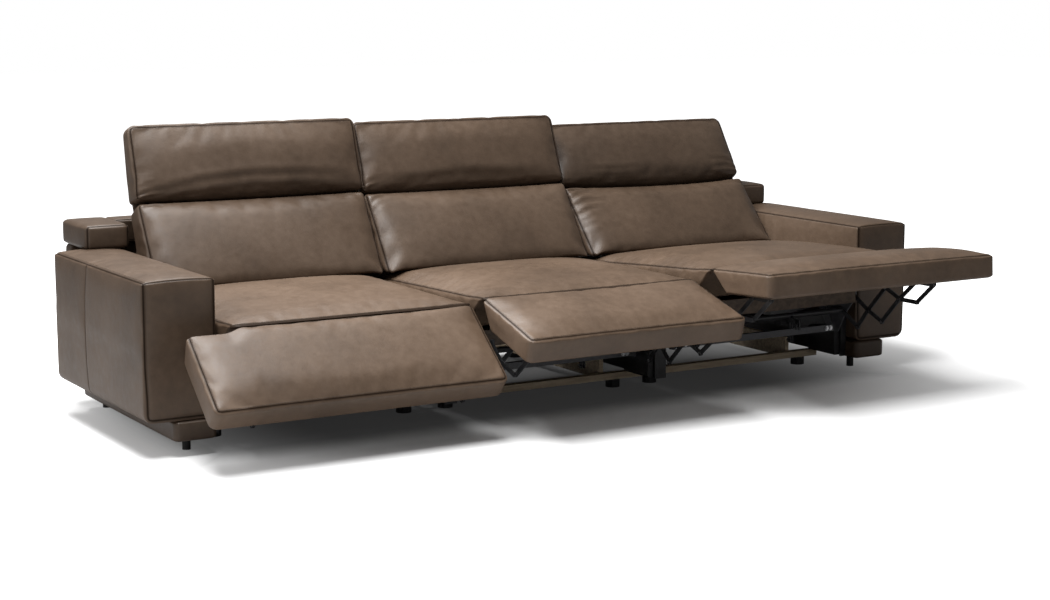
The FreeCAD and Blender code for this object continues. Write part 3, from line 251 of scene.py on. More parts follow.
hide = leather("leather", leatherLook)
# darker copies of the one leather for backs, headrests (the right one darkest), arms and trim: painted shade
# in place of light that falls less on them
paintedShadeFactors = {"back": 0.73, "head": 0.70, "headDeeperShade": 0.57, "arm": 0.85, "trim": 0.62}
paintedShadeHides = {key: leather("leather" + key.title(), leatherLook, paintedShade) for key, paintedShade in paintedShadeFactors.items()}
blackSteel = paintedSteel("blackSteel", (0.014, 0.014, 0.015), 0.42, 2.2)
greySteel = paintedSteel("greySteel", (0.055, 0.055, 0.06), 0.4, 1.5)
blackPlastic = paintedSteel("blackPlastic", (0.012, 0.012, 0.013), 0.55, 1.6)
blackBoard = paintedSteel("blackBoard", (0.013, 0.012, 0.012), 0.8, 1.8)
zinc = paintedSteel("zinc", (0.55, 0.55, 0.56), 0.35, 1.2, metallic=1)
railWood = timber("railWood", (0.66, 0.54, 0.39), (0.50, 0.39, 0.27), (0.4, 9, 9))
plyWood = timber("plyWood", (0.10, 0.068, 0.045), (0.055, 0.037, 0.025), (4, 1, 6))
threadFinish = paintedSteel("thread", (0.045, 0.030, 0.020), 0.6, 1.4)
rivetSteel = paintedSteel("rivetSteel", (0.22, 0.22, 0.23), 0.3, 1.4, metallic=1)
print("materials made")


# soft boxes: a closed grid on a box, rounded at its edges and then bent to the piece's own form
faceX, faceS, faceT = 0, 1, 2  # along the sofa, along the face, out of the face
faceKeys = ("faceX", "faceS", "faceT")


seamClear = 0.0055  # no other grid line comes nearer than this to a seam inside a face
seamSide = 0.003  # the lines beside such a seam


def gridLines(half, low, high, step, extras=()):
    turns = [math.tan(math.radians(a)) for a in (0, 15, 30, 45)]
    ends = [-half + low * (1 - t) for t in reversed(turns)]
    tops = [half - high * (1 - t) for t in turns]
    count = max(2, round((tops[0] - ends[-1]) / step))
    lines = ends + [ends[-1] + (tops[0] - ends[-1]) * i / count for i in range(1, count)] + tops
    for at in extras:
        lines = [line for line in lines if abs(line - at) > seamClear or abs(line) >= half - high]
        lines += [at - seamSide, at, at + seamSide]
    return np.array(sorted(lines))


def gridOf(half, rims, step, extras=((), (), ())):  # one rounding for each axis, or two
    pairs = [rim if isinstance(rim, tuple) else (rim, rim) for rim in rims]
    return [gridLines(size, *pair, step, extra) for size, pair, extra in zip(half, pairs, extras)]


def boxGrid(lines):
    counts = [len(axis) for axis in lines]
    last = [count - 1 for count in counts]
    index = {}
    raw = []
    for i in range(counts[0]):
        for j in range(counts[1]):
            for k in range(counts[2]):
                if i in (0, last[0]) or j in (0, last[1]) or k in (0, last[2]):
                    index[i, j, k] = len(raw)
                    raw.append((lines[0][i], lines[1][j], lines[2][k]))
    faces = []
    for axis in range(3):
        p, q = [a for a in range(3) if a != axis]
        for end in (0, last[axis]):
            for a in range(last[p]):
                for b in range(last[q]):
                    ring = []
                    for da, db in ((0, 0), (1, 0), (1, 1), (0, 1)):
                        key = [0, 0, 0]
                        key[axis], key[p], key[q] = end, a + da, b + db
                        ring.append(index[tuple(key)])
                    faces.append(ring)
    return np.array(raw), faces


def roundedOff(raw, half, radii):  # radii: one number per axis, or one row per point
    radii = np.broadcast_to(np.array(radii, float), raw.shape)
    inner = np.clip(raw, -(half - radii), half - radii)
    away = (raw - inner) / radii
    length = np.linalg.norm(away, axis=1, keepdims=True)
    return inner + radii * away / np.maximum(length, 1e-9)


def makePiece(name, points, faces, material):
    mesh = bpy.data.meshes.new(name)
    mesh.from_pydata([tuple(p) for p in points], [], faces)
    made = bmesh.new()
    made.from_mesh(mesh)
    bmesh.ops.recalc_face_normals(made, faces=made.faces)
    made.to_mesh(mesh)
    made.free()
    mesh.shade_smooth()
    mesh.materials.append(material)
    piece = bpy.data.objects.new(name, mesh)
    scene.collection.objects.link(piece)
    return piece


def rowsOf(items, key):
    values = np.empty(len(items) * 3, np.float32)
    items.foreach_get(key, values)
    return values.reshape(-1, 3).astype(float)


def pointsOf(piece):
    return rowsOf(piece.data.vertices, "co")


def normalsOf(piece):
    return rowsOf(piece.data.vertex_normals, "vector")


def setPoints(piece, points):
    piece.data.vertices.foreach_set("co", points.astype(np.float32).ravel())
    piece.data.update()


def store(piece, name, values):
    attribute = piece.data.attributes.get(name) or piece.data.attributes.new(name, "FLOAT", "POINT")
    attribute.data.foreach_set("value", values.astype(np.float32))


def stored(piece, name):
    values = np.empty(len(piece.data.vertices), np.float32)
    piece.data.attributes[name].data.foreach_get("value", values)
    return values.astype(float)


clothLook = {"tension": 18, "bending": 1.2, "mass": 0.35, "quality": 4, "frames": 14}


def puffed(piece, pinned, cap, pressure, slack):  # the cover swells between its seams
    start = pointsOf(piece)
    group = piece.vertex_groups.new(name="pinned")
    group.add([int(i) for i in np.nonzero(pinned)[0]], 1.0, "REPLACE")
    cloth = piece.modifiers.new("cloth", "CLOTH")
    settings = cloth.settings
    settings.quality = clothLook["quality"]
    settings.mass = clothLook["mass"]
    settings.tension_stiffness = clothLook["tension"]
    settings.compression_stiffness = clothLook["tension"]
    settings.shear_stiffness = clothLook["tension"] / 2
    settings.bending_stiffness = clothLook["bending"]
    settings.use_pressure = True
    settings.uniform_pressure_force = pressure
    settings.vertex_group_mass = "pinned"
    settings.shrink_min = -slack
    settings.effector_weights.gravity = 0
    cloth.point_cache.frame_start = 1
    cloth.point_cache.frame_end = clothLook["frames"]
    for at in range(1, clothLook["frames"] + 1):
        scene.frame_set(at)
    evaluated = piece.evaluated_get(bpy.context.evaluated_depsgraph_get())
    move = pointsOf(evaluated) - start
    length = np.linalg.norm(move, axis=1, keepdims=True)
    move *= np.minimum(1, cap / np.maximum(length, 1e-9))
    piece.modifiers.remove(cloth)
    piece.vertex_groups.remove(group)
    scene.frame_set(1)
    setPoints(piece, start + move)


def subdivided(piece):
    smooth = piece.modifiers.new("smooth", "SUBSURF")
    smooth.levels = smooth.render_levels = 1
    evaluated = piece.evaluated_get(bpy.context.evaluated_depsgraph_get())
    finished = bpy.data.meshes.new_from_object(evaluated)
    piece.modifiers.remove(smooth)
    old = piece.data
    piece.data = finished
    bpy.data.meshes.remove(old)
    finished.name = piece.name
    return piece


tiny = 1e-7


def onFace(raw, half, axis, sign):  # points on one face of the box
    return np.abs(raw[:, axis] - sign * half[axis]) < tiny


def onEdge(raw, half, axisA, signA, axisB, signB):  # points on one edge of the box
    return onFace(raw, half, axisA, signA) & onFace(raw, half, axisB, signB)


def smoothStep(value, low, high):
    t = np.clip((value - low) / (high - low), 0, 1)
    return t * t * (3 - 2 * t)


def onLine(raw, half, faceAxis, faceSign, axis, at):  # points of a seam that runs inside one face
    return onFace(raw, half, faceAxis, faceSign) & (np.abs(raw[:, axis] - at) < tiny)


def segmentDistance(points, a, b):
    a, b = np.array(a), np.array(b)
    run = b - a
    t = np.clip((points - a) @ run / (run @ run), 0, 1)
    return np.linalg.norm(points - a - t[:, None] * run, axis=1), t


creaseLook = {
    "faceFrom": 0.6,
    "fade": (0.92, 0.06, 0.6),
    "ridge": 0.45,
    "ridgeAt": 1.7,
    "ridgeWide": 0.9,
}


def creased(piece, creases, half):  # listed folds on the face, each a bent line with its own depth
    if not creases:
        return
    flat = np.stack([stored(piece, "faceX"), stored(piece, "faceS")], axis=1)
    face = smoothStep(stored(piece, "faceT"), half[2] * creaseLook["faceFrom"], half[2])
    run, start, power = creaseLook["fade"]
    push = np.zeros(len(flat))
    for width, depth, path in creases:
        best = np.full(len(flat), 1e9)
        strength = np.zeros(len(flat))
        for i, (a, b) in enumerate(zip(path, path[1:])):
            away, t = segmentDistance(flat, a, b)
            along = (i + t) / (len(path) - 1)
            closer = away < best
            best[closer] = away[closer]
            strength[closer] = np.sin(np.pi * np.clip(along[closer] * run + start, 0, 1)) ** power
        valley = -np.exp(-(best / width) ** 2)
        apart = (best - creaseLook["ridgeAt"] * width) / (creaseLook["ridgeWide"] * width)
        ridge = creaseLook["ridge"] * np.exp(-apart ** 2)
        push += depth * (valley + ridge) * strength
    setPoints(piece, pointsOf(piece) + normalsOf(piece) * (push * face)[:, None])


grooveDepth = 0.0032
heldShare = 0.7  # how far up a held end the cover is fixed
threadRuns = {}
threadLook = {"stitch": 0.0052, "gap": 0.0026, "radius": 0.0005, "above": 0.0002, "nearest": 0.0045,
              "end": 0.008}


def threadRows(piece, body, raw, lines, half, edges):  # rows of top stitching beside the seams, on the face
    co, normals = pointsOf(piece), normalsOf(piece)
    for axisA, signA, axisB, signB in edges:
        other = 3 - axisA - axisB
        axis = lines[axisA] * signA
        inward = half[axisA] - np.sort(axis)[::-1]
        ring = np.sort(axis)[::-1][int(np.argmax(inward >= threadLook["nearest"]))]
        row = np.nonzero(onFace(raw, half, axisB, signB)
                         & (np.abs(raw[:, axisA] * signA - ring) < tiny)
                         & (np.abs(raw[:, other]) < half[other] - threadLook["end"]))[0]
        row = row[np.argsort(raw[row, other])]
        if len(row) > 2:
            threadRuns.setdefault(body, []).append(co[row] + normals[row] * threadLook["above"])


def upholster(name, body, place, look):
    lines, form, radii = look["lines"], look["form"], look["radii"]
    half = np.array([axis[-1] for axis in lines])
    raw, faces = boxGrid(lines)
    spots = radii(raw, half) if callable(radii) else radii
    points = roundedOff(raw, half, spots)
    marks = np.zeros(len(raw), bool)
    for edge in look["edges"]:
        marks |= onEdge(raw, half, *edge)
    for line in look.get("lines inside", ()):
        marks |= onLine(raw, half, *line)
    rows = np.broadcast_to(np.array(spots, float), raw.shape)
    inner = np.clip(raw, -(half - rows), half - rows)
    away = points - inner
    away /= np.maximum(np.linalg.norm(away, axis=1, keepdims=True), 1e-9)
    points = points - away * grooveDepth * marks[:, None]
    points = form(points, half)
    turn = np.array(place)
    points = points @ turn[:3, :3].T + turn[:3, 3]
    piece = makePiece(name, points, faces, paintedShadeHides.get(look.get("hide"), hide))
    store(piece, "seam", marks.astype(float))
    for key, values in zip(faceKeys, raw.T):
        store(piece, key, values)
    cloth = look.get("cloth")
    if cloth:
        pinned = marks | (raw[:, 2] < 0)
        for sign in look.get("held ends", ()):
            pinned |= onFace(raw, half, faceS, sign) & (raw[:, faceT] < half[faceT] * heldShare)
        puffed(piece, pinned, **cloth)
    subdivided(piece)
    creased(piece, look.get("creases"), half)
    threadRows(piece, body, raw, lines, half, look.get("stitched", ()))
    for key in faceKeys:
        piece.data.attributes.remove(piece.data.attributes[key])
    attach(piece, body)
    return piece


faceSides = [(faceX, -1, faceT, 1), (faceX, 1, faceT, 1)]
faceRing = [(faceS, -1, faceT, 1), (faceS, 1, faceT, 1), *faceSides]
rearSides = [(faceX, -1, faceT, -1), (faceX, 1, faceT, -1)]


def cushion(name, body, look, node):
    piece = upholster(name, body, places.get(body, Matrix.Identity(4)), look)
    if node:
        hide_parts(node)


def across(points, half, corners):  # from the box to a four-cornered profile: foot, face foot, face top, top
    s = ((points[:, 1] / half[1] + 1) / 2)[:, None]
    t = ((points[:, 2] / half[2] + 1) / 2)[:, None]
    a, b, c, d = [np.broadcast_to(np.array(corner, float), (len(points), 2)) for corner in corners]
    spot = (1 - s) * (1 - t) * a + (1 - s) * t * b + s * t * c + s * (1 - t) * d
    out = (1 - s) * (b - a) + s * (c - d)
    return spot, out / np.linalg.norm(out, axis=1, keepdims=True)


def swelling(points, half, power, endPower):
    u = np.clip(np.abs(points[:, 0] / half[0]), 0, 1)
    v = np.clip(np.abs(points[:, 1] / half[1]), 0, 1)
    return (1 - u ** endPower) * (1 - v ** power)


def crowned(points, half, corners, look):  # a profile whose face swells between its edges
    spot, out = across(points, half, corners)
    lift = look["crown"] * swelling(points, half, *look["powers"]) * smoothStep(points[:, 2], 0, half[2])
    return spot + out * lift[:, None]


# seat cushions
seatLook = {
    "crown": 0.038,
    "powers": (2.0, 3.2),
    "halfWidth": 0.447,
    "noseRound": 0.007,
    "noseLead": 0.002,
    "noseUnder": (0.113, 0.02),
    "noseSpan": (0.03, 0.12),
    "edgeRound": 0.024,
    "endDraw": 0.010,
    "step": 0.022,
}


def seatCushion(unit, middle):
    node = "seat_cushion_" + unit
    low, high = drawnBox(node, places["seat_" + unit])
    top = high[2] - seatLook["crown"]
    half = (seatLook["halfWidth"], (high[1] - low[1]) / 2, (top - low[2]) / 2)
    rim = seatLook["edgeRound"]
    lines = gridOf(half, (rim, rim, rim), seatLook["step"])
    nose = low[1] - seatLook["noseLead"]
    underY, underZ = seatLook["noseUnder"]
    near, far = seatLook["noseSpan"]
    corners = ((low[1] + underY, low[2] + underZ), (nose, top), (high[1], top), (high[1], low[2]))

    def radii(raw, half):
        nose = 1 - smoothStep(raw[:, 1], near - half[1], far - half[1])
        small = rim + (seatLook["noseRound"] - rim) * nose
        return np.stack([np.full(len(raw), rim), small, small], axis=1)

    def form(points, half):
        spot = crowned(points, half, corners, seatLook)
        draw = np.sign(points[:, 0]) * seatLook["endDraw"] * (np.abs(points[:, 0]) / half[0]) ** 8
        return np.stack([middle + points[:, 0] - draw, spot[:, 0], spot[:, 1]], axis=1)

    look = {"lines": lines, "radii": radii, "form": form, "edges": faceRing, "stitched": faceRing,
            "cloth": {"cap": 0.012, "pressure": 2.0, "slack": 0.006}}
    cushion("seatCushion" + unit.title(), "seat_" + unit, look, node)


# footrest pads
padLook = {
    "crown": 0.018,
    "powers": (2.4, 3.4),
    "halfWidth": 0.447,
    "thick": 0.090,
    "round": 0.012,
    "corner": 0.030,
    "earReach": {"left": 0.0, "centre": 0.0, "right": 0.018},
    "earDrop": 0.022,
    "earFrom": 0.04,
    "earTo": 0.02,
    "mitre": 0.093,
    "step": 0.022,
}


def footrestPad(unit, middle):
    node = "footrest_pad_" + unit
    low, high = drawnBox(node, places["footrest_" + unit])
    face, back = high[1] - padLook["thick"], high[1]
    half = ((high[0] - low[0]) / 2, (high[2] - low[2]) / 2, padLook["thick"] / 2)
    centre = (high[0] + low[0]) / 2
    rim, corner = padLook["round"], padLook["corner"]
    lines = gridOf(half, (corner, (corner, rim), rim), padLook["step"])

    def radii(raw, half):  # wide corners at the foot end, tight ones at the fold
        wide = rim + (corner - rim) * (1 - smoothStep(raw[:, 1], 0, half[1]))
        return np.stack([np.full(len(raw), corner), wide, np.full(len(raw), rim)], axis=1)

    def form(points, half):
        x = centre + points[:, 0]
        if unit == "centre":
            beyond = np.zeros(len(x))
        else:
            side = -1 if unit == "left" else 1
            edge = padLook["halfWidth"]
            beyond = smoothStep((x - middle) * side, edge - padLook["earFrom"], edge + padLook["earTo"])
        drop = padLook["earDrop"] * beyond
        x = x + padLook["earReach"][unit] * beyond
        mitre = padLook["mitre"] * (1 - 0.5 * beyond)
        count = len(x)
        backTop = np.stack([np.full(count, back), high[2] - drop - mitre], axis=1)
        faceTop = np.stack([np.full(count, face), high[2] - drop], axis=1)
        corners = ((back, low[2]), (face, low[2]), faceTop, backTop)
        spot = crowned(points, half, corners, padLook)
        return np.stack([x, spot[:, 0], spot[:, 1]], axis=1)

    look = {"lines": lines, "radii": radii, "form": form,
            "edges": faceRing + rearSides,
            "stitched": [(faceS, 1, faceT, 1), (faceS, -1, faceT, 1), *faceSides],
            "cloth": {"cap": 0.010, "pressure": 2.0, "slack": 0.006}}
    cushion("footrestPad" + unit.title(), "footrest_" + unit, look, node)


# back cushions and headrests, whose split line hangs between its ends
sags = {"left": 0.003, "centre": 0.003, "right": 0.013}


def sagging(unit, x, halfWidth):
    u = np.clip(x / halfWidth, -1, 1)
    return sags[unit] * (1 - u ** 2) * (1 + 0.5 * u)


backLook = {
    "foot": (0.294, 0.450),
    "split": (0.478, 0.758),
    "thick": 0.100,
    "rearFoot": (0.487, 0.486),
    "crown": 0.024,
    "powers": (2.2, 3.4),
    "halfWidth": 0.447,
    "round": 0.022,
    "step": 0.022,
}


def backCushion(unit, middle):
    foot, split = np.array(backLook["foot"]), np.array(backLook["split"])
    run = split - foot
    long = np.linalg.norm(run)
    rearward = np.array((run[1], -run[0])) / long
    corners = (backLook["rearFoot"], foot, split, split + rearward * backLook["thick"])
    half = (backLook["halfWidth"], long / 2, backLook["thick"] / 2)
    rim = backLook["round"]
    lines = gridOf(half, (rim, rim, rim), backLook["step"])

    def form(points, half):
        spot = crowned(points, half, corners, backLook)
        sag = sagging(unit, points[:, 0], half[0]) * smoothStep(points[:, 1], 0, half[1])
        spot = spot - sag[:, None] * run / long
        return np.stack([middle + points[:, 0], spot[:, 0], spot[:, 1]], axis=1)

    look = {"lines": lines, "radii": (rim, rim, rim), "form": form,
            "hide": "back", "edges": faceSides,
            "creases": backCreases.get(unit), "held ends": (1,), "stitched": faceSides,
            "cloth": {"cap": 0.010, "pressure": 2.0, "slack": 0.008}}
    cushion("backCushion" + unit.title(), "back_" + unit, look, "back_cushion_" + unit)


headLook = {
    "lean": 18,
    "gap": 0.004,
    "length": 0.282,
    "footThick": 0.100,
    "topThick": 0.054,
    "crown": 0.016,
    "powers": (2.4, 3.6),
    "halfWidth": 0.447,
    "round": 0.012,
    "corner": 0.030,
    "footRound": 0.026,
    "footSpan": (0.03, 0.10),
    "step": 0.020,
}


def leaning():  # the headrest's own directions, up and rearward
    lean = math.radians(headLook["lean"])
    return np.array((math.sin(lean), math.cos(lean))), np.array((math.cos(lean), -math.sin(lean)))


def headrest(unit, middle):
    up, rearward = leaning()
    split = np.array(backLook["split"])
    near, far = headLook["footSpan"]
    foot, top = split + up * headLook["gap"], split + up * headLook["length"]
    corners = (foot + rearward * headLook["footThick"], foot, top, top + rearward * headLook["topThick"])
    half = (headLook["halfWidth"], (headLook["length"] - headLook["gap"]) / 2, headLook["footThick"] / 2)
    rim, corner, soft = headLook["round"], headLook["corner"], headLook["footRound"]
    lines = gridOf(half, (corner, (soft, corner), rim), headLook["step"])

    def radii(raw, half):
        low = 1 - smoothStep(raw[:, 1], near - half[1], far - half[1])
        deep = rim + (soft - rim) * low
        return np.stack([corner + (rim - corner) * low, corner + (soft - corner) * low, deep], axis=1)

    def form(points, half):
        spot = crowned(points, half, corners, headLook)
        sag = sagging(unit, points[:, 0], half[0]) * smoothStep(-points[:, 1], 0, half[1])
        spot = spot - sag[:, None] * up
        return np.stack([middle + points[:, 0], spot[:, 0], spot[:, 1]], axis=1)

    look = {"lines": lines, "radii": radii, "form": form,
            "edges": faceSides + rearSides + [(faceS, 1, faceT, 1), (faceS, 1, faceT, -1)],
            "creases": headCreases.get(unit), "held ends": (-1,),
            # the right headrest takes the darkest copy: painted shade
            "hide": "headDeeperShade" if unit == "right" else "head", "stitched": [*faceSides, (faceS, 1, faceT, 1)],
            "cloth": {"cap": 0.010, "pressure": 2.0, "slack": 0.006}}
    cushion("headrest" + unit.title(), "headrest_" + unit, look, "headrest_" + unit)


backCreases = {  # each row: width, depth, and the places on the face that the crease runs through
    "left": [
        (0.006, 0.004, ((-0.43, 0.155), (-0.40, 0.168), (-0.34, 0.172))),
        (0.006, 0.004, ((0.43, 0.150), (0.41, 0.166), (0.37, 0.172))),
    ],
    "centre": [
        (0.007, 0.005, ((-0.44, 0.120), (-0.41, 0.150), (-0.36, 0.160))),
        (0.006, 0.004, ((-0.44, 0.095), (-0.41, 0.118), (-0.37, 0.125))),
    ],
    "right": [
        (0.008, 0.007, ((-0.445, 0.150), (-0.40, 0.158), (-0.34, 0.150))),
        (0.009, 0.008, ((-0.445, 0.112), (-0.39, 0.135), (-0.32, 0.150))),
        (0.010, 0.007, ((-0.445, 0.075), (-0.38, 0.090), (-0.29, 0.088))),
        (0.009, 0.006, ((-0.445, 0.030), (-0.39, 0.048), (-0.32, 0.060))),
        (0.008, 0.005, ((-0.445, -0.03), (-0.41, -0.025), (-0.36, -0.02))),
        (0.008, 0.005, ((0.445, 0.130), (0.41, 0.150), (0.35, 0.162))),
    ],
}
headCreases = {
    "left": [
        (0.015, 0.005, ((-0.36, -0.115), (-0.22, -0.085), (0.0, -0.070), (0.22, -0.074), (0.36, -0.085))),
        (0.006, 0.005, ((-0.445, -0.120), (-0.40, -0.108), (-0.34, -0.104))),
        (0.005, 0.003, ((-0.445, -0.100), (-0.41, -0.085), (-0.37, -0.078))),
    ],
    "centre": [
        (0.018, 0.003, ((-0.30, -0.112), (0.0, -0.098), (0.30, -0.108))),
        (0.006, 0.004, ((-0.445, -0.115), (-0.41, -0.100), (-0.36, -0.094))),
    ],
    "right": [
        (0.008, 0.003, ((-0.30, -0.085), (-0.18, -0.090), (-0.05, -0.086))),
        (0.007, 0.005, ((0.445, -0.085), (0.37, -0.070), (0.30, -0.066))),
        (0.007, 0.005, ((0.445, -0.112), (0.38, -0.098), (0.30, -0.100))),
    ],
}

for unit, middle in units:
    seatCushion(unit, middle)
    footrestPad(unit, middle)
    backCushion(unit, middle)
    headrest(unit, middle)
    print("cushions of the", unit, "seat")


# fixed leather body
armLook = {
    "crown": 0.010,
    "under": 0.034,
    "underSpan": (0.05, 0.20),
    "round": 0.011,
    "bulge": 0.006,
    "frontBulge": 0.004,
    "seamBow": 0.014,
    "seamReach": 0.1,
    "acrossStep": 0.025,
    "sideSeam": 0.09,
    "step": 0.030,
}


def arm(unit, side):
    node = "arm_" + unit
    low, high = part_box(node)
    top = high[2] - armLook["crown"]
    half = ((high[0] - low[0]) / 2, (high[1] - low[1]) / 2, (top - low[2]) / 2)
    centre = ((high[0] + low[0]) / 2, (high[1] + low[1]) / 2, (top + low[2]) / 2)
    rim = armLook["round"]
    lines = [gridLines(half[0], armLook["under"], armLook["under"], armLook["acrossStep"]),
             gridLines(half[1], rim, rim, armLook["step"], (armLook["sideSeam"],)),
             gridLines(half[2], armLook["under"], rim, armLook["step"])]

    def radii(raw, half):
        near, far = armLook["underSpan"]
        low = 1 - smoothStep(raw[:, 2], near - half[2], far - half[2])
        wide = rim + (armLook["under"] - rim) * low
        return np.stack([wide, np.full(len(raw), rim), wide], axis=1)

    def form(points, half):
        u, v, w = [points[:, i] / half[i] for i in range(3)]
        outer = smoothStep(u * side, 0.2, 1)
        x = centre[0] + points[:, 0] + side * outer * armLook["bulge"] * (1 - v ** 4) * (1 - np.abs(w) ** 3)
        near = np.exp(-((points[:, 1] - armLook["sideSeam"]) / armLook["seamReach"]) ** 2)
        bow = armLook["seamBow"] * (1 - w ** 2) * near * outer
        front = armLook["frontBulge"] * smoothStep(-v, 0.7, 1) * outer * (1 - u ** 4) * (1 - w ** 4)
        rise = armLook["crown"] * (1 - u ** 2) * smoothStep(w, 0.2, 1) * (1 - 0.6 * v ** 8)
        return np.stack([x, centre[1] + points[:, 1] + bow - front, centre[2] + points[:, 2] + rise], axis=1)

    look = {"lines": lines, "radii": radii, "form": form,
            "edges": [(faceS, -1, faceX, -1), (faceS, -1, faceX, 1), (faceS, -1, faceT, -1), *faceRing,
                      (faceS, 1, faceX, side)],
            "lines inside": [(faceX, side, faceS, armLook["sideSeam"])], "hide": "arm",
            "stitched": [(faceX, -1, faceS, -1), (faceX, 1, faceS, -1), (faceT, 1, faceS, -1),
                         (faceX, side, faceT, 1)],
            "cloth": {"cap": 0.004, "pressure": 1.0, "slack": 0.002}}
    cushion("arm" + unit.title(), "base", look, node)


boxStep = 0.04


def coveredBox(name, node, low, high, rounds, edges, swell=0.003, extras=()):
    low, high = np.array(low), np.array(high)
    half = tuple((high - low) / 2)
    centre = (high + low) / 2
    lines = gridOf(half, rounds, boxStep, (extras, (), ()))

    def form(points, half):
        u, v, w = [points[:, i] / half[i] for i in range(3)]
        out = np.stack([u * (1 - v ** 4) * (1 - w ** 4), v * (1 - u ** 4) * (1 - w ** 4),
                        w * (1 - u ** 4) * (1 - v ** 4)], axis=1)
        return centre + points + out * swell

    look = {"lines": lines, "radii": rounds, "form": form, "edges": edges, "hide": "trim",
            "lines inside": [(faceS, 1, faceX, at) for at in extras]}
    cushion(name, "base", look, node)


railLook = {"thick": 0.110, "armInside": 1.35, "endRound": 0.020, "round": 0.012}
panelLook = {"rounds": (0.02, 0.012, 0.02), "seams": (-0.45, 0.45)}
plinthRounds = (0.022, 0.022, 0.010)


def rail():
    low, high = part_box("back_rail")
    inside, edge, rim = railLook["armInside"], railLook["endRound"], railLook["round"]
    front = high[1] - railLook["thick"]
    coveredBox("railMiddle", "back_rail", (-inside, front, low[2]), (inside, high[1], high[2]),
               (rim, rim, rim), [(faceS, -1, faceT, 1), (faceS, 1, faceT, 1)], swell=0.004)
    for name, side in (("Left", -1), ("Right", 1)):
        a, b = sorted((side * inside, side * -low[0]))
        seams = [(faceS, -1, faceT, 1), (faceS, -1, faceX, side), (faceX, -side, faceT, 1),
                 (faceS, -1, faceX, -side)]
        near, far = (a, low[1], low[2]), (b, high[1], high[2])
        coveredBox("railEnd" + name, None, near, far, (edge, edge, rim), seams, 0.006)


for unit, side in (("left", -1), ("right", 1)):
    arm(unit, side)
rail()
low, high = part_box("rear_panel")
panelSeams = [(faceX, -1, faceS, 1), (faceX, 1, faceS, 1)]
coveredBox("outsideBack", "rear_panel", low, high, panelLook["rounds"], panelSeams, extras=panelLook["seams"])
low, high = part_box("arm_plinths")
inside = railLook["armInside"]
for name, node, a, b in (("Left", "arm_plinths", low[0], -inside), ("Right", None, inside, high[0])):
    near, far = (a, low[1], low[2]), (b, high[1], high[2])
    coveredBox("plinth" + name, node, near, far, plinthRounds, [], swell=0.002)
print("arms, rail and plinths")

# what repeats: stitches along the seams, rivet heads on the links, bolts on the cross tube
def newTree(name, sizes):
    tree = bpy.data.node_groups.new(name, "GeometryNodeTree")
    tree.interface.new_socket("Geometry", in_out="INPUT", socket_type="NodeSocketGeometry")
    tree.interface.new_socket("Geometry", in_out="OUTPUT", socket_type="NodeSocketGeometry")
    for key in sizes:
        tree.interface.new_socket(key, in_out="INPUT", socket_type="NodeSocketFloat")
    return tree, tree.nodes.new("NodeGroupInput"), tree.nodes.new("NodeGroupOutput")


def instanced(tree, points, instance, finish, out, rotation=None):  # one shape on each point, made real
    spread = tree.nodes.new("GeometryNodeInstanceOnPoints")
    tree.links.new(points, spread.inputs["Points"])
    tree.links.new(instance, spread.inputs["Instance"])
    if rotation:
        tree.links.new(rotation, spread.inputs["Rotation"])
    real = tree.nodes.new("GeometryNodeRealizeInstances")
    tree.links.new(spread.outputs["Instances"], real.inputs["Geometry"])
    painted = addNode(tree, "GeometryNodeSetMaterial", Material=finish)
    tree.links.new(real.outputs["Geometry"], painted.inputs["Geometry"])
    tree.links.new(painted.outputs["Geometry"], out.inputs["Geometry"])


def stitchTree(finish):
    tree, given, out = newTree("stitches", ("Pitch", "Stitch", "Radius"))
    curve = tree.nodes.new("GeometryNodeMeshToCurve")
    tree.links.new(given.outputs["Geometry"], curve.inputs["Mesh"])
    even = addNode(tree, "GeometryNodeResampleCurve", mode="LENGTH")
    tree.links.new(curve.outputs["Curve"], even.inputs["Curve"])
    tree.links.new(given.outputs["Pitch"], even.inputs["Length"])
    stitch = addNode(tree, "GeometryNodeMeshCylinder", Vertices=6)
    tree.links.new(given.outputs["Radius"], stitch.inputs["Radius"])
    tree.links.new(given.outputs["Stitch"], stitch.inputs["Depth"])
    tangent = tree.nodes.new("GeometryNodeInputTangent")
    turn = addNode(tree, "FunctionNodeAlignRotationToVector", axis="Z")
    tree.links.new(tangent.outputs["Tangent"], turn.inputs["Vector"])
    instanced(tree, even.outputs["Curve"], stitch.outputs["Mesh"], finish, out, turn.outputs["Rotation"])
    return tree


def rivetTree(finish):  # low round heads, their axis along X
    tree, given, out = newTree("rivets", ("Radius", "Flatness"))
    head = addNode(tree, "GeometryNodeMeshUVSphere", Segments=16, Rings=8)
    tree.links.new(given.outputs["Radius"], head.inputs["Radius"])
    flat = addNode(tree, "ShaderNodeCombineXYZ", Y=1, Z=1)
    tree.links.new(given.outputs["Flatness"], flat.inputs["X"])
    shaped = tree.nodes.new("GeometryNodeTransform")
    tree.links.new(head.outputs["Mesh"], shaped.inputs["Geometry"])
    tree.links.new(flat.outputs["Vector"], shaped.inputs["Scale"])
    instanced(tree, given.outputs["Geometry"], shaped.outputs["Geometry"], finish, out)
    return tree


def boltTree(finish):  # hexagon heads on round washers, their axis along Y
    tree, given, out = newTree("bolts", ("Head radius", "Head depth", "Washer radius", "Washer depth"))
    shapes = tree.nodes.new("GeometryNodeJoinGeometry")
    for kind, sides in (("Head", 6), ("Washer", 20)):
        shape = addNode(tree, "GeometryNodeMeshCylinder", Vertices=sides)
        tree.links.new(given.outputs[kind + " radius"], shape.inputs["Radius"])
        tree.links.new(given.outputs[kind + " depth"], shape.inputs["Depth"])
        tree.links.new(shape.outputs["Mesh"], shapes.inputs["Geometry"])
    turned = addNode(tree, "GeometryNodeTransform", Rotation=(math.pi / 2, 0, 0))
    tree.links.new(shapes.outputs["Geometry"], turned.inputs["Geometry"])
    instanced(tree, given.outputs["Geometry"], turned.outputs["Geometry"], finish, out)
    return tree


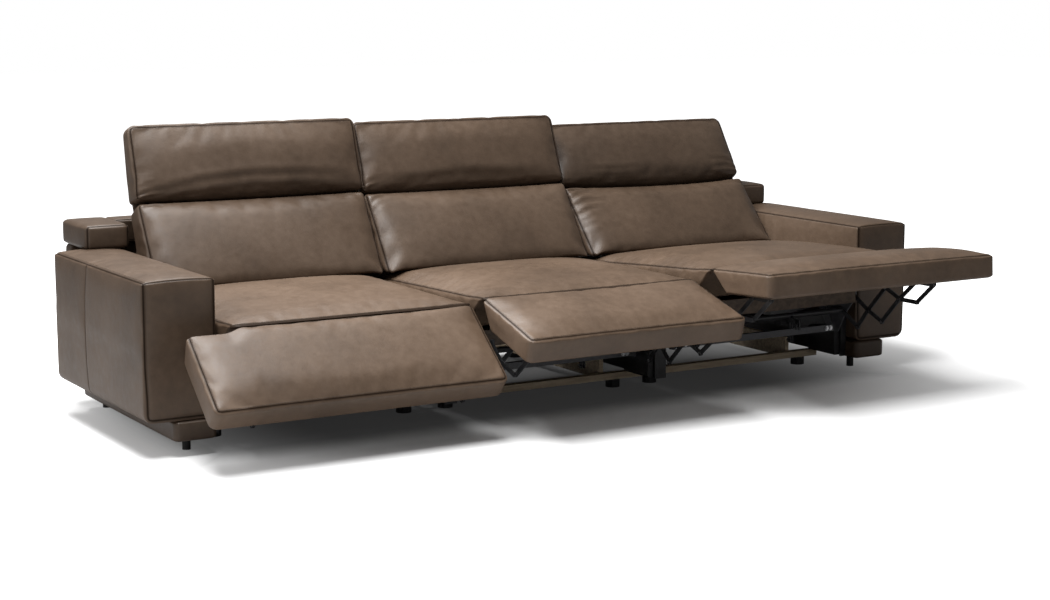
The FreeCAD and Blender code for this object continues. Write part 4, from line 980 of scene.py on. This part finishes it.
def repeated(name, body, tree, values, points, edges=()):
    mesh = bpy.data.meshes.new(name)
    mesh.from_pydata([tuple(point) for point in points], list(edges), [])
    piece = bpy.data.objects.new(name, mesh)
    scene.collection.objects.link(piece)
    made = piece.modifiers.new("made", "NODES")
    made.node_group = tree
    for socket in tree.interface.items_tree:
        if socket.in_out == "INPUT" and socket.name in values:
            made[socket.identifier] = float(values[socket.name])
    finished = bpy.data.meshes.new_from_object(piece.evaluated_get(bpy.context.evaluated_depsgraph_get()))
    piece.modifiers.remove(made)
    piece.data = finished
    bpy.data.meshes.remove(mesh)
    finished.name = name
    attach(piece, body)
    return piece


stitches = stitchTree(threadFinish)
for body, runs in threadRuns.items():
    points = np.concatenate(runs)
    edges, start = [], 0
    for run in runs:
        edges += [(start + i, start + i + 1) for i in range(len(run) - 1)]
        start += len(run)
    pitch = threadLook["stitch"] + threadLook["gap"]
    values = {"Pitch": pitch, "Stitch": threadLook["stitch"], "Radius": threadLook["radius"]}
    thread = repeated("stitches_" + body, body, stitches, values, points, edges)
print("stitching made")

# pivots of the lazy tongs: columns turn with the footrest, rows keep their direction
tongsLook = {
    "crank": (-0.065, 0.201),
    "rows": ((0, 0), (-0.064, 0.070), (-0.168, 0.164), (-0.268, 0.239)),
    "columns": ((0, 0), (0.060, -0.097), (0.097, -0.175), (0.102, -0.271)),
    "riveted": (("rear_riser", 1, (0, 1, 2)), ("front_riser", 2, (1, 2)), ("tip_link", 3, (2,))),
    "linkFace": 0.382,
    "bracketFace": 0.376,
    "head": {"Radius": 0.0062, "Flatness": 0.145},
}
boltLook = {
    "spots": ((0.360, -0.0285, 0.130), (0.342, -0.0285, 0.130)),
    "sizes": {"Head radius": 0.0066, "Head depth": 0.0116, "Washer radius": 0.0095, "Washer depth": 0.0024},
}


def openBy(unit):
    return math.radians(-joints["footrest_lift_" + unit]["range_deg"][0])


def pivotPair(unit, middle, column, row, face):  # a pivot at both sides of the seat, as stored
    turn = openBy(unit)
    y, z = tongsLook["columns"][column]
    spot = (tongsLook["crank"][0] + y * math.cos(turn) + z * math.sin(turn) + tongsLook["rows"][row][0],
            tongsLook["crank"][1] - y * math.sin(turn) + z * math.cos(turn) + tongsLook["rows"][row][1])
    return [places["seat_" + unit] @ Vector((middle + side * face, *spot)) for side in (-1, 1)]


rivets = rivetTree(rivetSteel)
bolts = boltTree(zinc)
for unit, middle in units:
    for stem, column, held in tongsLook["riveted"]:
        spots = [spot for row in held for spot in pivotPair(unit, middle, column, row, tongsLook["linkFace"])]
        body = nodes[f"tongs_{stem}_{unit}"]["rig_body"]
        repeated(f"rivets_{stem}_{unit}", body, rivets, tongsLook["head"], spots)
    face = tongsLook["bracketFace"]
    spots = [spot for column in (2, 3) for spot in pivotPair(unit, middle, column, 3, face)]
    repeated("rivets_bracket_" + unit, "footrest_" + unit, rivets, tongsLook["head"], spots)
    spots = [places["seat_" + unit] @ Vector((middle + side * x, y, z)) for x, y, z in boltLook["spots"]
             for side in (-1, 1)]
    repeated("bolts_tube_" + unit, "seat_" + unit, bolts, boltLook["sizes"], spots)
print("rivets and bolts made")

# leather that bridges the folds: seat to footrest, and back cushion to headrest
bridgeLook = {
    "fold": (-0.333, 0.440),
    "reach": 0.011,
    "sunk": 0.0050,
    "thick": 0.0018,
    "halfWidth": 0.438,
    "headHalf": 0.446,
    "headDepth": 0.055,
    "headSunk": 0.012,
    "paintedShade": 0.8,
    "steps": 8,
    "lengths": 24,
}


def bridge(name, a, b, half, front, rear):  # rows of points at the middle, from body a to body b; a and b are not used
    outline = front + rear[::-1]
    count, last = len(outline), bridgeLook["lengths"]
    spots = [spot + Vector((half * (2 * i / last - 1), 0, 0))
             for i in range(last + 1) for spot in outline]
    faces = []
    for i in range(last):
        near, far = i * count, (i + 1) * count
        faces += [(near + j, near + (j + 1) % count, far + (j + 1) % count, far + j) for j in range(count)]
    for base in (0, last * count):  # the two ends, in strips
        end = base + count - 1
        faces += [(base + j, base + j + 1, end - 1 - j, end - j) for j in range(len(front) - 1)]
    piece = makePiece(name, spots, faces, hide)
    # the whole strip is painted most of the way to the near-black seam colour: painted shade in the fold
    store(piece, "seam", np.full(len(spots), bridgeLook["paintedShade"]))
    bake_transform(piece)


def foldBridge(unit, middle):
    turn = openBy(unit)
    fold = np.array(bridgeLook["fold"])
    padWay, padIn = np.array((-math.sin(turn), -math.cos(turn))), np.array((math.cos(turn), -math.sin(turn)))
    rows = []
    for depth in (bridgeLook["sunk"], bridgeLook["sunk"] + bridgeLook["thick"]):
        row = []
        for u in np.linspace(-1, 1, bridgeLook["steps"] + 1):
            way = np.array((-u, 0.0)) if u < 0 else u * padWay
            share = float(smoothStep(u, -0.5, 0.5))
            inward = (1 - share) * np.array((0.0, -1.0)) + share * padIn
            spot = fold + way * bridgeLook["reach"] + inward / np.linalg.norm(inward) * depth
            row.append(places["seat_" + unit] @ Vector((middle, *spot)))
        rows.append(row)
    bridge("foldBridge" + unit.title(), "seat_" + unit, "footrest_" + unit, bridgeLook["halfWidth"], *rows)


def headBridge(unit, middle):
    foot, split = np.array(backLook["foot"]), np.array(backLook["split"])
    run = (split - foot) / np.linalg.norm(split - foot)
    up, behind = leaning()
    rows = []
    for depth in (bridgeLook["headDepth"], bridgeLook["headDepth"] + bridgeLook["thick"]):
        low = split + np.array((run[1], -run[0])) * depth - run * bridgeLook["headSunk"]
        high = split + up * (headLook["gap"] + bridgeLook["headSunk"]) + behind * depth
        row = []
        for u in np.linspace(0, 1, bridgeLook["steps"] + 1):
            spot = Vector((middle, *((1 - u) * low + u * high)))
            row.append((1 - u) * (places["back_" + unit] @ spot) + u * (places["headrest_" + unit] @ spot))
        rows.append(row)
    bridge("headBridge" + unit.title(), "back_" + unit, "headrest_" + unit, bridgeLook["headHalf"], *rows)


for unit, middle in units:
    foldBridge(unit, middle)
    headBridge(unit, middle)
print("folds bridged")

# finishes of the pieces that stay as they are
def paint(finish, *names):
    for name in names:
        for slot in nodes[name].material_slots:
            slot.material = finish


paint(railWood, "base_frame")
paint(blackPlastic, "feet", "control_boxes")
paint(blackSteel, "side_brackets")
for unit, middle in units:
    paint(plyWood, "seat_box_" + unit, "back_frame_" + unit)
    paint(greySteel, "mechanism_frame_" + unit)
    paint(blackPlastic, "drive_motor_" + unit, "drive_slider_" + unit)
    paint(blackBoard, "footrest_board_" + unit)
    for stem in ("crank_shaft_", "tongs_lower_link_", "tongs_outer_link_", "tongs_rear_riser_",
                 "tongs_front_riser_", "tongs_tip_link_", "headrest_hinge_"):
        paint(blackSteel, stem + unit)
print("finishes on the frame")

# studio
cameraLook = {"place": (-3.746, -6.125, 1.488), "yaw": 31.19, "pitch": 7.43, "lens": 67.39, "shift": -0.0476,
              "sensor": 36}
cameraData = bpy.data.cameras.new("camera")
cameraData.lens = cameraLook["lens"]
cameraData.sensor_width = cameraLook["sensor"]
cameraData.shift_y = cameraLook["shift"]
camera = bpy.data.objects.new("camera", cameraData)
camera.location = cameraLook["place"]
camera.rotation_euler = (math.radians(90 - cameraLook["pitch"]), 0, math.radians(-cameraLook["yaw"]))
scene.collection.objects.link(camera)
scene.camera = camera

studio = {
    "floorHalf": 30,
    "floorColour": 0.93,
    "floorBounce": 0.5,
    "floorGlow": 0.020,
    "worldStrength": 0.22,
    "clear": (0.62, 2.4),
    "squash": 0.68,
    "underCentre": (0, 0.25),
    "underHalf": (1.42, 0.58),
    "underEdge": (-0.12, 0.1),
    "underShade": 0.15,
}
lamps = {
    "overhead": {"place": (-1.3, 0.2, 4.2), "aim": (-0.1, -0.1, 0.3), "size": (4.6, 2.2), "power": 490},
    "side": {"place": (-5.6, 0.6, 2.4), "aim": (-1.3, 0.0, 0.5), "size": (2.4, 1.6), "power": 62,
             "specular": 0.4},
}
for name, lamp in lamps.items():
    data = bpy.data.lights.new(name, "AREA")
    data.shape = "RECTANGLE"
    data.size, data.size_y = lamp["size"]
    data.energy = lamp["power"]
    data.specular_factor = lamp.get("specular", 1)
    light = bpy.data.objects.new(name, data)
    light.location = lamp["place"]
    light.rotation_euler = (Vector(lamp["aim"]) - Vector(lamp["place"])).to_track_quat("-Z", "Y").to_euler()
    scene.collection.objects.link(light)


world = bpy.data.worlds.new("studio")
world.use_nodes = True
tree = world.node_tree
background = tree.nodes["Background"]
background.inputs["Color"].default_value = (1, 1, 1, 1)
path = addNode(tree, "ShaderNodeLightPath")
strength = mapped(tree, path.outputs["Is Camera Ray"], wanted=(studio["worldStrength"], 1))
tree.links.new(strength, background.inputs["Strength"])
scene.world = world

floorMesh = bpy.data.meshes.new("floor")
floorHalf = studio["floorHalf"]
floorCorners = [(x * floorHalf, y * floorHalf, 0) for x, y in ((-1, -1), (1, -1), (1, 1), (-1, 1))]
floorMesh.from_pydata(floorCorners, [], [(0, 1, 2, 3)])
floor = bpy.data.objects.new("floor", floorMesh)
scene.collection.objects.link(floor)
floorMaterial, tree, shader = nodeTree("floor", (studio["floorColour"],) * 3, 0.9)
shader.inputs["Emission Color"].default_value = (1, 1, 1, 1)
shader.inputs["Specular IOR Level"].default_value = 0
path = addNode(tree, "ShaderNodeLightPath")
shown, bounced = (studio["floorColour"],) * 3, (studio["floorBounce"],) * 3
seen = mixed(tree, "MIX", path.outputs["Is Camera Ray"], bounced, shown)
place = addNode(tree, "ShaderNodeTexCoord")
spot = addNode(tree, "ShaderNodeSeparateXYZ")
tree.links.new(place.outputs["Object"], spot.inputs["Vector"])
outside = []  # how far a place lies beyond the field of painted shade under the sofa, on each axis
for axis, centre, half in zip("XY", studio["underCentre"], studio["underHalf"]):
    apart = worked(tree, "ABSOLUTE", worked(tree, "SUBTRACT", spot.outputs[axis], centre))
    outside.append(worked(tree, "SUBTRACT", apart, half))
edge = worked(tree, "MAXIMUM", *outside)
# the floor under the sofa is painted darker for every ray: painted shade
under = mapped(tree, edge, studio["underEdge"], (studio["underShade"], 1), "SMOOTHSTEP")
tree.links.new(mixed(tree, "MULTIPLY", 1.0, seen, under), shader.inputs["Base Color"])
# camera rays see the floor glow, faint beside the sofa and full white further out: painted light that lifts
# the floor's shadows
squash = addNode(tree, "ShaderNodeMapping", Scale=(studio["squash"], 1, 1))
tree.links.new(place.outputs["Object"], squash.inputs["Vector"])
away = addNode(tree, "ShaderNodeVectorMath", operation="LENGTH")
tree.links.new(squash.outputs["Vector"], away.inputs[0])
clear = mapped(tree, away.outputs["Value"], studio["clear"], (studio["floorGlow"], 1), "SMOOTHSTEP")
glow = worked(tree, "MULTIPLY", path.outputs["Is Camera Ray"], clear)
tree.links.new(glow, shader.inputs["Emission Strength"])
floorMesh.materials.append(floorMaterial)
print("studio ready")

bpy.context.view_layer.update()
